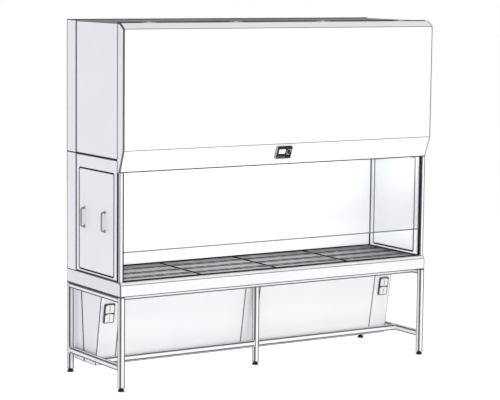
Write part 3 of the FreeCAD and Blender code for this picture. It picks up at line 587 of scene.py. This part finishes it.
def mend(bm):
    """Lays out again each flat whose outline folds back on itself after the rounding, such as the end of a tube
    or the edge of a frame, so that no triangle bridges its hole, and closes hair-wide slits."""
    laid = {}
    for tri in bm.calc_loop_triangles():
        a, b, c = (q.vert.co for q in tri)
        laid[tri[0].face] = laid.get(tri[0].face, 0.0) + (b - a).cross(c - a).length / 2
    for f, area in laid.items():
        if not f.is_valid or len(f.verts) < 5:
            continue
        own = f.calc_area()
        if abs(area - own) < 2e-8 + 0.01 * max(area, own):
            continue
        n, mat, at = f.normal.copy(), f.material_index, f.verts[0].co.copy()
        flat = flat_round(f)
        rim = [e for e in {e for g in flat for e in g.edges} if sum(g in flat for g in e.link_faces) == 1]
        vs = list({v for e in rim for v in e.verts})
        num = {v: i for i, v in enumerate(vs)}
        u = n.orthogonal().normalized()
        w = n.cross(u)
        xy, _, tris, origin, _, _ = delaunay_2d_cdt([Vector(((v.co - at).dot(u), (v.co - at).dot(w))) for v in vs],
                                                    [(num[e.verts[0]], num[e.verts[1]]) for e in rim], [], 2, 1e-7)
        if any(not o for o in origin):
            continue
        uses = {}
        for g in tris:
            for i in range(len(g)):
                k = frozenset((vs[origin[g[i]][0]], vs[origin[g[i - 1]][0]]))
                uses[k] = uses.get(k, 0) + 1
        for k in uses:
            e = bm.edges.get(list(k))
            uses[k] += sum(g not in flat for g in e.link_faces) if e else 0
        if max(uses.values()) > 2:
            continue
        for g in flat:
            bm.faces.remove(g)
        for g in tris:
            h = bm.faces.new([vs[origin[i][0]] for i in g])
            h.normal_update()
            if h.normal.dot(n) < 0:
                h.normal_flip()
            h.material_index = mat
    loose = [e for e in bm.edges if not e.link_faces]
    bmesh.ops.delete(bm, geom=loose, context="EDGES")
    slit = list({v for e in bm.edges if len(e.link_faces) == 1 for v in e.verts})
    bmesh.ops.remove_doubles(bm, verts=slit, dist=1e-5)
    bm.normal_update()


def add_mesh(whole, bm, mat=None):
    """Puts bm's faces into whole and frees bm."""
    vs = {v: whole.verts.new(v.co) for v in bm.verts}
    for f in bm.faces:
        g = whole.faces.new([vs[v] for v in f.verts])
        g.material_index = f.material_index if mat is None else mat
    bm.free()


def piece(name, bm, mats, body, replaces=(), slot=None, weighted=True, sharp=38.0):
    me = bpy.data.meshes.new(name)
    bm.to_mesh(me)
    bm.free()
    for p in me.polygons:
        p.use_smooth = True
    me.set_sharp_from_angle(angle=RAD(sharp))
    for m in mats:
        me.materials.append(m)
    ob = bpy.data.objects.new(name, me)
    SCENE.collection.objects.link(ob)
    if weighted:
        w = ob.modifiers.new("weighted_normals", "WEIGHTED_NORMAL")
        w.keep_sharp = True
        w.mode = "FACE_AREA"
    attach(ob, body)
    if replaces:
        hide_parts(*replaces)
    return ob


def refine(node, fold=None, fold_area=0.02, fold_seg=4, rim=0.0005, rim_seg=2, limit=28.0, small=2e-5, band=0.0, outer=False, clamp=True, paint=None, extra=None, mats=None):
    """The node again with its folds rolled to a real bending radius and its cut edges broken.
    Painted folds and broken edges carry a dark grey band of painted shade that outlines them, which reaches as far as
    band from square corners (outer: only those at the ends of the piece).
    paint(bm) may set other finishes on faces, extra(bm) adds detail."""
    fin = finish_of(node)
    # the dark painted-shade coat for this finish, if it has one
    edge_shade = EDGE_SHADE_OF.get(fin)
    em = 1 if edge_shade else -1
    whole = bmesh.new()
    for bm in solids_of(node):
        if bm.calc_volume() > small:
            reseam(bm)
            if fold:
                if band:
                    es = [e for e in sharp_convex(bm, RAD(60.0)) if min(f.calc_area() for f in e.link_faces) > fold_area]
                    if outer:
                        lo = [min(v.co[a] for v in bm.verts) + 0.001 for a in range(3)]
                        hi = [max(v.co[a] for v in bm.verts) - 0.001 for a in range(3)]
                        es = [e for e in es if sum(all(v.co[a] < lo[a] for v in e.verts) or all(v.co[a] > hi[a] for v in e.verts) for a in range(3)) > 1]
                    bmesh.ops.bevel(bm, geom=es, offset=band, offset_type="OFFSET", segments=2, profile=1.0, affect="EDGES",
                                    clamp_overlap=clamp, loop_slide=True, miter_outer="SHARP", miter_inner="SHARP", material=em)
                    bm.normal_update()
                es = [e for e in sharp_convex(bm, RAD(limit)) if all(f.material_index == em or f.calc_area() > fold_area for f in e.link_faces)]
                roll_edges(bm, es, fold, fold_seg, em, clamp)
                bm.normal_update()
            if rim:
                roll_edges(bm, sharp_convex(bm, RAD(limit)), rim, rim_seg, em)
            mend(bm)
        add_mesh(whole, bm)
    whole.normal_update()
    if paint:
        paint(whole)
    if extra:
        extra(whole)
    return piece(node + "_sheet", whole, mats or ([fin, edge_shade] if edge_shade else [fin]), BODY[node], (node,), SLOT[node])


def shade_border(width):
    """The dark edge coat as a border of this width on the large front faces of a cover: painted shade that outlines the
    cover.
    """
    def paint(bm):
        big = [f for f in bm.faces if f.calc_area() > 0.05 and f.normal.y < -0.5]
        for f in bmesh.ops.inset_region(bm, faces=big, thickness=width, depth=0.0, use_even_offset=True)["faces"]:
            f.material_index = 1
    return paint


def paint_top_shade(bm):
    """Gives the upward face at the top of the cabinet the dark zinc: painted shade on the top."""
    for f in bm.faces:
        if f.normal.z > 0.9 and f.calc_center_median().z > 2.59:
            f.material_index = 2


def across(axis):
    """Two unit vectors square to axis."""
    axis = axis.normalized()
    u = axis.orthogonal().normalized()
    if abs(axis.z) < 0.9:
        u = Vector((0, 0, 1)).cross(axis).normalized()
    return u, axis.cross(u)


def lathe(bm, prof, origin, axis, seg=48, mat=0, wobble=None, frame_u=None):
    """Turns (radius, height) pairs round an axis. wobble(angle, radius, height) may change a radius."""
    axis = axis.normalized()
    u, v = across(axis)
    if frame_u is not None:
        u = frame_u.normalized()
        v = axis.cross(u)
    rows = []
    for r, h in prof:
        c = origin + axis * h
        if r < 1e-9:
            rows.append([bm.verts.new(c)])
            continue
        row = []
        for i in range(seg):
            t = 2 * math.pi * i / seg
            q = wobble(t, r, h) if wobble else r
            row.append(bm.verts.new(c + u * (q * math.cos(t)) + v * (q * math.sin(t))))
        rows.append(row)
    for a, b in zip(rows, rows[1:]):
        for i in range(seg):
            j = (i + 1) % seg
            if len(a) == 1 and len(b) == 1:
                break
            if len(a) == 1:
                f = bm.faces.new((a[0], b[j], b[i]))
            elif len(b) == 1:
                f = bm.faces.new((a[i], a[j], b[0]))
            else:
                f = bm.faces.new((a[i], a[j], b[j], b[i]))
            f.material_index = mat
    return rows


def sweep(bm, pts, ring, mat=0, up=None):
    """A closed section carried along points. ring(k) gives the (a, b) section at point k."""
    n = len(pts)
    tan = [(pts[min(k + 1, n - 1)] - pts[max(k - 1, 0)]).normalized() for k in range(n)]
    u = (up - tan[0] * up.dot(tan[0])).normalized() if up is not None else across(tan[0])[0]
    rows = []
    for k in range(n):
        u = (u - tan[k] * u.dot(tan[k])).normalized()
        v = tan[k].cross(u)
        rows.append([bm.verts.new(pts[k] + u * a + v * b) for a, b in ring(k)])
    m = len(rows[0])
    for a, b in zip(rows, rows[1:]):
        for i in range(m):
            j = (i + 1) % m
            bm.faces.new((a[i], a[j], b[j], b[i])).material_index = mat
    bm.faces.new(list(reversed(rows[0]))).material_index = mat
    bm.faces.new(rows[-1]).material_index = mat


def circle(r, seg):
    return [(r * math.cos(2 * math.pi * i / seg), r * math.sin(2 * math.pi * i / seg)) for i in range(seg)]


def slab(bm, origin, ax, ay, az, x0, x1, y0, y1, z0, z1, soft=0.0, mat=0):
    """A block in a frame, with its top edges broken by soft."""
    def at(x, y, z):
        return bm.verts.new(origin + ax * x + ay * y + az * z)
    s = soft
    low = [at(x0, y0, z0), at(x1, y0, z0), at(x1, y1, z0), at(x0, y1, z0)]
    mid = [at(x0, y0, z1 - s), at(x1, y0, z1 - s), at(x1, y1, z1 - s), at(x0, y1, z1 - s)]
    rows = [low, mid]
    if s:
        rows.append([at(x0 + s, y0 + s, z1), at(x1 - s, y0 + s, z1), at(x1 - s, y1 - s, z1), at(x0 + s, y1 - s, z1)])
    fs = [bm.faces.new(list(reversed(low)))]
    for a, b in zip(rows, rows[1:]):
        for i in range(4):
            j = (i + 1) % 4
            fs.append(bm.faces.new((a[i], a[j], b[j], b[i])))
    fs.append(bm.faces.new(rows[-1]))
    for f in fs:
        f.material_index = mat


# ---------------------------------------------------------------------------
# sheet metal and tube, with rolled folds and broken edges, and painted shade along the folds of the painted parts
# ---------------------------------------------------------------------------
refine("front_cover", fold=0.0054, fold_area=0.02, rim=0.0008, limit=14.0, band=0.0108)
refine("base_pan", fold=0.0050, fold_area=0.02, rim=0.0009, band=0.0076)
refine("upper_side_panels", fold=0.0036, fold_area=0.012, rim=0.0008, band=0.0050, outer=True)
refine("lower_side_panels", fold=0.0036, fold_area=0.012, rim=0.0008, band=0.0050, outer=True)
# the rear duct's top face takes the dark zinc as painted shade
refine("rear_duct_casings", fold=0.0048, fold_area=0.02, rim=0.0008, band=0.0130, paint=paint_top_shade, mats=[finish_of("rear_duct_casings"), EDGE_SHADE_OF[finish_of("rear_duct_casings")], ZINC_SHADE])
# the top panel in the darkened zinc, as painted shade on the top
refine("top_panel", rim=0.0010, mats=[ZINC_TOP_SHADE])
refine("stand_legs", fold=0.0050, fold_area=0.005, rim=0.0006, band=0.0104)
refine("plenum_casings", fold=0.0040, fold_area=0.02, rim=0.0008, band=0.0056, clamp=False)
refine("plenum_covers", rim=0.0024, rim_seg=3, paint=shade_border(0.0075))
refine("hatch_left", rim=0.0014, rim_seg=3)
refine("hatch_right", rim=0.0014, rim_seg=3)
refine("sash_rails", rim=0.0016, rim_seg=3)
refine("counterweight_left", rim=0.0028, rim_seg=3)
refine("counterweight_right", rim=0.0028, rim_seg=3)
refine("sash_clamps", rim=0.0008, small=0.0)
refine("pulley_brackets", rim=0.0004, small=0.0)
refine("outlet_boxes", rim=0.0006)


def weld(bm, origin, ax, ay, out, half):
    """A fillet weld round the end of a square tube: a rippled bead on the face the tube meets."""
    pts = []
    n = 22
    for sx, sy, ex, ey in ((-1, -1, 1, -1), (1, -1, 1, 1), (1, 1, -1, 1), (-1, 1, -1, -1)):
        for k in range(n):
            f = k / n
            pts.append(((sx + (ex - sx) * f) * half, (sy + (ey - sy) * f) * half))
    rows = []
    for k, (x, y) in enumerate(pts):
        g = 0.0030 + 0.0004 * math.sin(k * 2.1)
        dx = 0.0 if abs(x) < half - 1e-9 else math.copysign(1.0, x)
        dy = 0.0 if abs(y) < half - 1e-9 else math.copysign(1.0, y)
        c = origin + ax * x + ay * y
        o = ax * dx + ay * dy
        rows.append([bm.verts.new(c - o * 0.0004 - out * 0.0004), bm.verts.new(c + o * g - out * 0.0004),
                     bm.verts.new(c + o * g * 0.42 + out * g * 0.42), bm.verts.new(c - o * 0.0004 + out * g)])
    m = len(rows)
    for k in range(m):
        a, b = rows[k], rows[(k + 1) % m]
        for i in range(4):
            j = (i + 1) % 4
            bm.faces.new((a[i], b[i], b[j], a[j]))


def stand_welds(bm):
    X, Y, Z = Vector((1, 0, 0)), Vector((0, 1, 0)), Vector((0, 0, 1))
    add = bmesh.new()
    for s in (-1, 1):
        for y, o in ((-10.0, Y), (728.0, -Y)):
            weld(add, P(s * 1330.0, y, 167.0), X, Z, o, 0.020)
        weld(add, P(s * 1310.0, 277.0, 167.0), Y, Z, X * -s, 0.020)
        weld(add, P(s * 20.0, 277.0, 167.0), Y, Z, X * s, 0.020)
    bmesh.ops.recalc_face_normals(add, faces=add.faces)
    add_mesh(bm, add, 0)


refine("stand_rails", fold=0.0050, fold_area=0.005, rim=0.0006, band=0.0098, extra=stand_welds)


def slot_walls(bm):
    """The walls of the slots are painted dark as painted shade, with a margin of the same painted shade on the top face
    round every edge.
    """
    lo, hi = Vector((1e9,) * 3), Vector((-1e9,) * 3)
    for v in bm.verts:
        lo = Vector(map(min, lo, v.co))
        hi = Vector(map(max, hi, v.co))
    for f in bm.faces:
        c = f.calc_center_median()
        inside = lo.x + 0.006 < c.x < hi.x - 0.006 and lo.y + 0.006 < c.y < hi.y - 0.006
        if inside and abs(f.normal.z) < 0.5 and c.z > hi.z - 0.0025:
            f.material_index = 1
    top = [f for f in bm.faces if f.normal.z > 0.999 and f.calc_center_median().z > hi.z - 0.0005]
    for f in bmesh.ops.inset_region(bm, faces=top, thickness=0.0026, depth=0.0, use_even_offset=True)["faces"]:
        f.material_index = 1


for i in range(1, 5):
    refine("worktop_tray_%d" % i, fold=0.0017, fold_area=0.01, rim=0.0, paint=slot_walls, mats=[STEEL_TRAY, STEEL_SLOT_SHADE])


# ---------------------------------------------------------------------------
# control panel: black extrusion with its ends painted grey as a highlight, keys, ribbed knob
# ---------------------------------------------------------------------------
CO = Vector((0.0, -0.3991877, 1.6524525))
CX = Vector((1.0, 0.0, 0.0))
CU = Vector((0.0, -0.35178, 0.93608)).normalized()
CN = Vector((0.0, -0.93608, -0.35178)).normalized()


# paints the side faces at the panel's ends, ahead of the step, light grey: a painted highlight
def paint_end_highlight(bm):
    bmesh.ops.bisect_plane(bm, geom=bm.verts[:] + bm.edges[:] + bm.faces[:], dist=1e-7, plane_co=CO + CN * 0.0028, plane_no=CN)
    for f in bm.faces:
        c = f.calc_center_median() - CO
        if abs(f.normal.x) > 0.35 and abs(c.x) > 0.055 and c.dot(CN) > 0.0028:
            f.material_index = 1


refine("control_panel", rim=0.0006, rim_seg=3, limit=20.0, paint=paint_end_highlight, mats=[BLACK, PANEL_END_HIGHLIGHT])
for i in range(1, 4):
    refine("control_key_%d" % i, rim=0.0009, rim_seg=3, small=0.0)


def knob():
    k = CO + CX * 0.041 + CU * 0.007
    bm = bmesh.new()

    def grip(t, r, h):
        if 0.0206 < h < 0.0297:
            return r + 0.00045 * max(-0.6, min(0.6, math.cos(20 * t))) / 0.6
        return r
    mm = [(0, 12.0), (3.0, 12.0), (3.0, 18.6), (16.6, 18.6), (17.0, 18.9), (17.0, 20.0), (16.7, 20.3), (16.0, 20.6), (15.9, 20.9),
          (15.7, 24.0), (15.5, 29.3), (15.2, 29.9), (14.6, 30.9), (13.6, 31.5), (12.6, 31.6), (12.0, 31.3), (0, 31.1)]
    lathe(bm, [(r / 1000, h / 1000) for r, h in mm], k, CN, 120, 0, grip, CU)
    slab(bm, k, CX, CU, CN, -0.0011, 0.0011, 0.0032, 0.0118, 0.0310, 0.03155, 0.0002, 1)
    bmesh.ops.recalc_face_normals(bm, faces=bm.faces)
    piece("control_knob_grip", bm, [KNOB, PLASTIC], "control_knob", ("control_knob",), "knob_plastic")
    bm = bmesh.new()
    mm = [(17.7, 17.9), (22.0, 17.9), (22.4, 18.2), (22.4, 18.9), (22.0, 19.3), (18.4, 19.6), (17.9, 19.5), (17.7, 19.2), (17.7, 17.9)]
    lathe(bm, [(r / 1000, h / 1000) for r, h in mm], k, CN, 96, 0, None, CU)
    bmesh.ops.remove_doubles(bm, verts=bm.verts, dist=1e-7)
    bmesh.ops.recalc_face_normals(bm, faces=bm.faces)
    piece("control_knob_collar", bm, [ALU], "front_cover", (), "aluminium", sharp=32.0)


knob()

# ---------------------------------------------------------------------------
# outlets: lids with a soft grip rib
# ---------------------------------------------------------------------------
QU = Vector((0.0, -0.17083, 0.98530)).normalized()
QN = Vector((0.0, -0.98530, -0.17083)).normalized()


def grip_rib(side, hinge):
    o = Vector((side * 1.234, -0.00328, 0.497)) + QU * (hinge - 0.031)

    def add(bm):
        rib = bmesh.new()
        n = 12
        pts = [o + QU * (-0.0255 + 0.051 * k / n) + QN * 0.0154 for k in range(n + 1)]

        def ring(k):
            e = math.sqrt(max(0.08, 1.0 - ((k - n / 2) / (n / 2)) ** 6))
            return [(0.0026 * e * math.cos(a), 0.0011 * e * math.sin(a)) for a in [2 * math.pi * i / 14 for i in range(14)]]
        sweep(rib, pts, ring, 1, CX)
        bmesh.ops.recalc_face_normals(rib, faces=rib.faces)
        add_mesh(bm, rib)
    return add


for side, s in (("left", -1), ("right", 1)):
    for row, h in (("upper", 0.063), ("lower", -0.007)):
        refine("outlet_lid_%s_%s" % (side, row), rim=0.0006, small=0.0, extra=grip_rib(s, h), mats=[PLASTIC, GREY])


# ---------------------------------------------------------------------------
# levelling feet, panel screws, handles
# ---------------------------------------------------------------------------
UP = Vector((0.0, 0.0, 1.0))


def hexagon(corner, limit):
    flat = corner * math.cos(math.pi / 6)

    def r(t, q, h):
        a = (t % (math.pi / 3)) - math.pi / 6
        return min(flat / math.cos(a), q)
    return r


def foot(name, x, y):
    bm = bmesh.new()
    o = P(x, y, 0.0)
    mm = [(0, 0), (22.4, 0), (23.5, 0.4), (24.0, 1.3), (24.0, 4.6), (23.6, 5.9), (22.2, 9.2), (20.6, 13.0), (19.3, 16.2), (18.6, 17.3), (17.4, 18.0), (0, 18.0)]
    lathe(bm, [(r / 1000, h / 1000) for r, h in mm], o, UP, 64, 0, lambda t, r, h: r - (0.0005 if h < 0.0055 and 0.001 < h and math.cos(32 * t) > 0 else 0.0))
    nut = [(0, 18.0), (8.7, 18.0), (9.8, 18.4), (9.8, 22.5), (8.7, 23.0), (5.0, 23.0)]
    th = []
    z = 23.0
    while z < 30.0:
        th += [(4.45, z + 0.2), (5.0, z + 0.7), (5.0, z + 0.95), (4.45, z + 1.45)]
        z += 1.6
    rows = nut + th + [(4.8, 31.5), (4.8, 61.0), (4.0, 62.0), (0, 62.0)]
    hx = hexagon(0.0098, 0.0098)
    lathe(bm, [(r / 1000, h / 1000) for r, h in rows], o, UP, 48, 1, lambda t, r, h: hx(t, r, h) if 0.018 <= h <= 0.023 and r > 0.006 else r)
    bmesh.ops.recalc_face_normals(bm, faces=bm.faces)
    piece(name + "_pad", bm, [BLACK, ZINC_BLACK], name, (name,), "black_plastic", sharp=30.0)


for k, (x, y) in {"front_left": (-1330, -30), "front_right": (1330, -30), "rear_left": (-1330, 748), "rear_right": (1330, 748), "middle": (0, 277)}.items():
    foot("foot_" + k, x, y)


def screw(bm, o, axis):
    mm = [(0, 0), (5.5, 0), (5.5, 0.35), (5.15, 1.05), (4.4, 1.65), (3.4, 2.05), (2.7, 2.2), (2.35, 2.2), (2.2, 2.05), (2.2, 0.9), (0, 0.8)]
    hx = hexagon(0.00235, 0.0)
    lathe(bm, [(r / 1000, h / 1000) for r, h in mm], o, axis, 18, 0, lambda t, r, h: hx(t, r, h) if r < 0.0024 else r)


def screws():
    bm = bmesh.new()
    for z in (800, 1080, 1350, 1625, 1665, 1960, 2270, 2580):
        for x in (-1330, -890, -445, 0, 445, 890, 1330):
            if z in (800, 1625, 1665, 2580) or abs(x) > 1300:
                screw(bm, P(x, 768, z), Vector((0, 1, 0)))
    for y in (30, 740):
        for x in (-1330, -890, -560, 0, 560, 890, 1330):
            screw(bm, P(x, y, 2602), UP)
    bmesh.ops.recalc_face_normals(bm, faces=bm.faces)
    piece("panel_screw_heads", bm, [STEEL_Y], "root", ("panel_screws",), "stainless", sharp=32.0)
    bm = bmesh.new()
    for hx in (-1100, -380, 380, 1100):
        for dx in (-38, 0, 38):
            lathe(bm, [(r / 1000, h / 1000) for r, h in [(0, 0), (3.6, 0), (3.6, 0.25), (3.2, 0.5), (1.3, 0.55), (1.2, 0.1), (0, 0.1)]],
                  P(hx + dx, 12.5, 2603.5), UP, 18)
    bmesh.ops.recalc_face_normals(bm, faces=bm.faces)
    piece("hinge_screws_fixed", bm, [STEEL_Y], "root", (), "stainless", sharp=32.0)
    bm = bmesh.new()
    for hx in (-1100, -380, 380, 1100):
        for dx in (-38, 0, 38):
            lathe(bm, [(r / 1000, h / 1000) for r, h in [(0, 0), (3.6, 0), (3.6, 0.25), (3.2, 0.5), (1.3, 0.55), (1.2, 0.1), (0, 0.1)]],
                  P(hx + dx, -14.0, 2603.5), UP, 18)
    bmesh.ops.recalc_face_normals(bm, faces=bm.faces)
    piece("hinge_screws_cover", bm, [STEEL_Y], "front_cover", (), "stainless", sharp=32.0)


screws()


def handles(side, s):
    bm = bmesh.new()
    for y in (179.0, 488.0):
        r, out, z0, z1 = 14.0, 28.0, 1121.0, 1256.0
        pts = [P(s * 1349.0, y, z0), P(s * 1354.0, y, z0)]
        for k in range(13):
            a = math.pi / 2 * k / 12
            pts.append(P(s * (1350 + out - r + r * math.sin(a)), y, z0 + r - r * math.cos(a)))
        for k in range(1, 8):
            pts.append(P(s * (1350 + out), y, z0 + r + (z1 - z0 - 2 * r) * k / 8))
        for k in range(13):
            a = math.pi / 2 * k / 12
            pts.append(P(s * (1350 + out - r + r * math.cos(a)), y, z1 - r + r * math.sin(a)))
        pts += [P(s * 1354.0, y, z1), P(s * 1349.0, y, z1)]
        sweep(bm, pts, lambda k: circle(0.00645, 28), 0, Vector((0, 1, 0)))
        for z in (z0, z1):
            mm = [(0, 0), (12.0, 0), (12.0, 2.4), (11.5, 3.3), (10.4, 3.9), (8.8, 4.1), (7.6, 4.5), (6.9, 5.4), (6.4, 6.6), (0, 6.6)]
            lathe(bm, [(q / 1000, h / 1000) for q, h in mm], P(s * 1350.0, y, z), Vector((s, 0, 0)), 40)
    bmesh.ops.recalc_face_normals(bm, faces=bm.faces)
    piece("hatch_%s_handle_bars" % side, bm, [STEEL_GRIP], "hatch_" + side, ("hatch_%s_handles" % side,), "stainless", sharp=40.0)


handles("left", -1)
handles("right", 1)


# ---------------------------------------------------------------------------
# sash: glass with ground edges in a slim profile, pulleys, twisted cables
# ---------------------------------------------------------------------------
def ground_edges(bm):
    for f in bm.faces:
        if abs(f.normal.y) < 0.98:
            f.material_index = 1


refine("sash_glass", rim=0.0008, paint=ground_edges, mats=[GLASS, GLASS_EDGE])


def edge_profile():
    bm = bmesh.new()
    y0, y1, z0 = -20.0, -14.0, 988.0
    sec = [(y0 - 1.0, z0 + 6.6), (y0 - 1.2, z0 + 6.2), (y0 - 1.2, z0 + 0.2), (y0 - 0.6, z0 - 0.8), (y1 + 0.6, z0 - 0.8), (y1 + 1.2, z0 + 0.2),
           (y1 + 1.2, z0 + 6.2), (y1 + 1.0, z0 + 6.6), (y1 + 0.05, z0 + 6.6), (y1 + 0.05, z0 - 0.02), (y0 - 0.05, z0 - 0.02), (y0 - 0.05, z0 + 6.6)]
    n = 8
    rows = [[bm.verts.new(P(-1309.0 + 2618.0 * k / n, y, z)) for y, z in sec] for k in range(n + 1)]
    m = len(sec)
    for a, b in zip(rows, rows[1:]):
        for i in range(m):
            j = (i + 1) % m
            bm.faces.new((a[i], a[j], b[j], b[i]))
    bm.faces.new(rows[0])
    bm.faces.new(rows[-1])
    bmesh.ops.recalc_face_normals(bm, faces=bm.faces)
    piece("sash_edge_profile", bm, [ANODISED], "sash", (), "aluminium")


edge_profile()


def cover_trim():
    """Rubber edging pushed over the lower edge of the front cover, the lip that the sash runs behind."""
    bm = bmesh.new()
    sy, sz, ny, nz = -0.35178, 0.93608, -0.93608, -0.35178
    sec = [(6.8, 0.06), (6.8, 0.8), (6.4, 1.2), (5.6, 1.35), (0.2, 1.35), (-0.9, 1.1), (-1.5, 0.5), (-1.8, -0.75), (-1.5, -2.0), (-0.9, -2.6),
           (0.2, -2.85), (4.6, -2.85), (5.2, -2.4), (5.2, -1.58), (0.5, -1.58), (0.5, 0.06)]
    n = 24
    rows = [[bm.verts.new(P(-1348.0 + 2696.0 * k / n, -28.0 + sy * s + ny * q, 1557.0 + sz * s + nz * q)) for s, q in sec] for k in range(n + 1)]
    m = len(sec)
    for a, b in zip(rows, rows[1:]):
        for i in range(m):
            j = (i + 1) % m
            bm.faces.new((a[i], a[j], b[j], b[i]))
    bm.faces.new(rows[0])
    bm.faces.new(rows[-1])
    bmesh.ops.recalc_face_normals(bm, faces=bm.faces)
    piece("cover_edge_trim", bm, [RUBBER], "front_cover", (), "black_rubber")


cover_trim()


def pulley(side, s):
    bm = bmesh.new()
    mm = [(5.1, -8.0), (9.0, -8.0), (9.8, -7.4), (10.4, -5.4), (17.6, -4.6), (20.4, -5.6), (22.6, -7.6), (23.6, -7.6), (24.0, -7.0), (24.0, -4.6), (23.4, -3.6),
          (21.6, -2.5), (20.2, -1.9), (19.2, -1.0), (18.9, 0.0)]
    prof = mm + [(r, -h) for r, h in reversed(mm[:-1])] + [mm[0]]
    hole = lambda t, r, h: r
    lathe(bm, [(r / 1000, h / 1000) for r, h in prof], P(s * 1200.0, -38.0, 2550.0), Vector((1, 0, 0)), 64, 0, hole)
    bmesh.ops.remove_doubles(bm, verts=bm.verts, dist=1e-6)
    for k in range(6):
        a = 2 * math.pi * k / 6
        c = P(s * 1200.0, -38.0 + 14.0 * math.cos(a), 2550.0 + 14.0 * math.sin(a))
        for e in (-1, 1):
            lathe(bm, [(r / 1000, h / 1000) for r, h in [(0, 4.0), (2.4, 4.0), (2.4, 5.6), (1.9, 6.1), (0, 6.2)]], c, Vector((e, 0, 0)), 16)
    bmesh.ops.recalc_face_normals(bm, faces=bm.faces)
    piece("pulley_%s_wheel" % side, bm, [BLACK], "pulley_" + side, ("pulley_" + side,), "black_plastic", sharp=32.0)


def lay(bm, pts):
    """Six strands laid round a core, as one twisted section."""
    run = [0.0]
    for a, b in zip(pts, pts[1:]):
        run.append(run[-1] + (b - a).length)

    def ring(k):
        tw = 2 * math.pi * run[k] / 0.016
        out = []
        for i in range(18):
            a = 2 * math.pi * i / 18
            r = 0.00152 + 0.00048 * abs(math.cos(3 * a))
            out.append((r * math.cos(a + tw), r * math.sin(a + tw)))
        return out
    sweep(bm, pts, ring, 0, Vector((1, 0, 0)))
    bmesh.ops.recalc_face_normals(bm, faces=bm.faces)


def cable(side, s):
    x = s * 1200.0

    def straight(y, z0, z1):
        n = max(2, int(abs(z1 - z0) / 2.2))
        return [P(x, y, z0 + (z1 - z0) * k / n) for k in range(n + 1)]
    bm = bmesh.new()
    lay(bm, [P(x, -38.0 + 21.0 * math.cos(math.pi * k / 40), 2550.0 + 21.0 * math.sin(math.pi * k / 40)) for k in range(41)])
    piece("cable_%s_loop" % side, bm, [CABLE], "root", ("sash_cables",) if s < 0 else (), "steel_cable", weighted=False, sharp=60.0)
    for nm, y, z1, body in (("sash", -17.0, 1878.0, "sash"), ("weight", -59.0, 2308.0, "counterweight_" + side)):
        bm = bmesh.new()
        lay(bm, straight(y, 2550.0, z1))
        me = bpy.data.meshes.new("cable_%s_%s" % (side, nm))
        bm.to_mesh(me)
        bm.free()
        for p in me.polygons:
            p.use_smooth = True
        me.materials.append(CABLE)
        ob = bpy.data.objects.new("cable_%s_%s" % (side, nm), me)
        SCENE.collection.objects.link(ob)
        tuple(P(x, y, 2548.0))
        tuple(P(x, y, z1 + 6.0))
        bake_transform(ob)
        bm = bmesh.new()
        zz = z1 + 2.0
        mm = [(0, -0.5), (3.6, -0.5), (4.0, 0.0), (4.0, 9.5), (3.4, 10.8), (2.5, 11.6), (0, 11.6)]
        lathe(bm, [(r / 1000, h / 1000) for r, h in mm], P(x, y, zz), UP, 24, 0, lambda t, r, h: r * (0.93 if 0.002 < h < 0.008 and math.cos(4 * t) > 0.2 else 1.0))
        bmesh.ops.recalc_face_normals(bm, faces=bm.faces)
        piece("cable_%s_%s_sleeve" % (side, nm), bm, [STEEL_Z], body, (), "stainless", sharp=32.0)


for side, s in (("left", -1), ("right", 1)):
    pulley(side, s)
    cable(side, s)


# ---------------------------------------------------------------------------
# lamps: ribbed lens between moulded end caps
# ---------------------------------------------------------------------------
def lamp_ends(bm):
    for x in (-1.238, -0.042, 0.042, 1.238):
        bmesh.ops.bisect_plane(bm, geom=bm.verts[:] + bm.edges[:] + bm.faces[:], dist=1e-7, plane_co=(x, 0, 0), plane_no=(1, 0, 0))
    for f in bm.faces:
        c = f.calc_center_median()
        if not 0.042 < abs(c.x) < 1.238:
            f.material_index = 1


refine("lamps", rim=0.0015, rim_seg=3, paint=lamp_ends, mats=[LENS, PLASTIC])
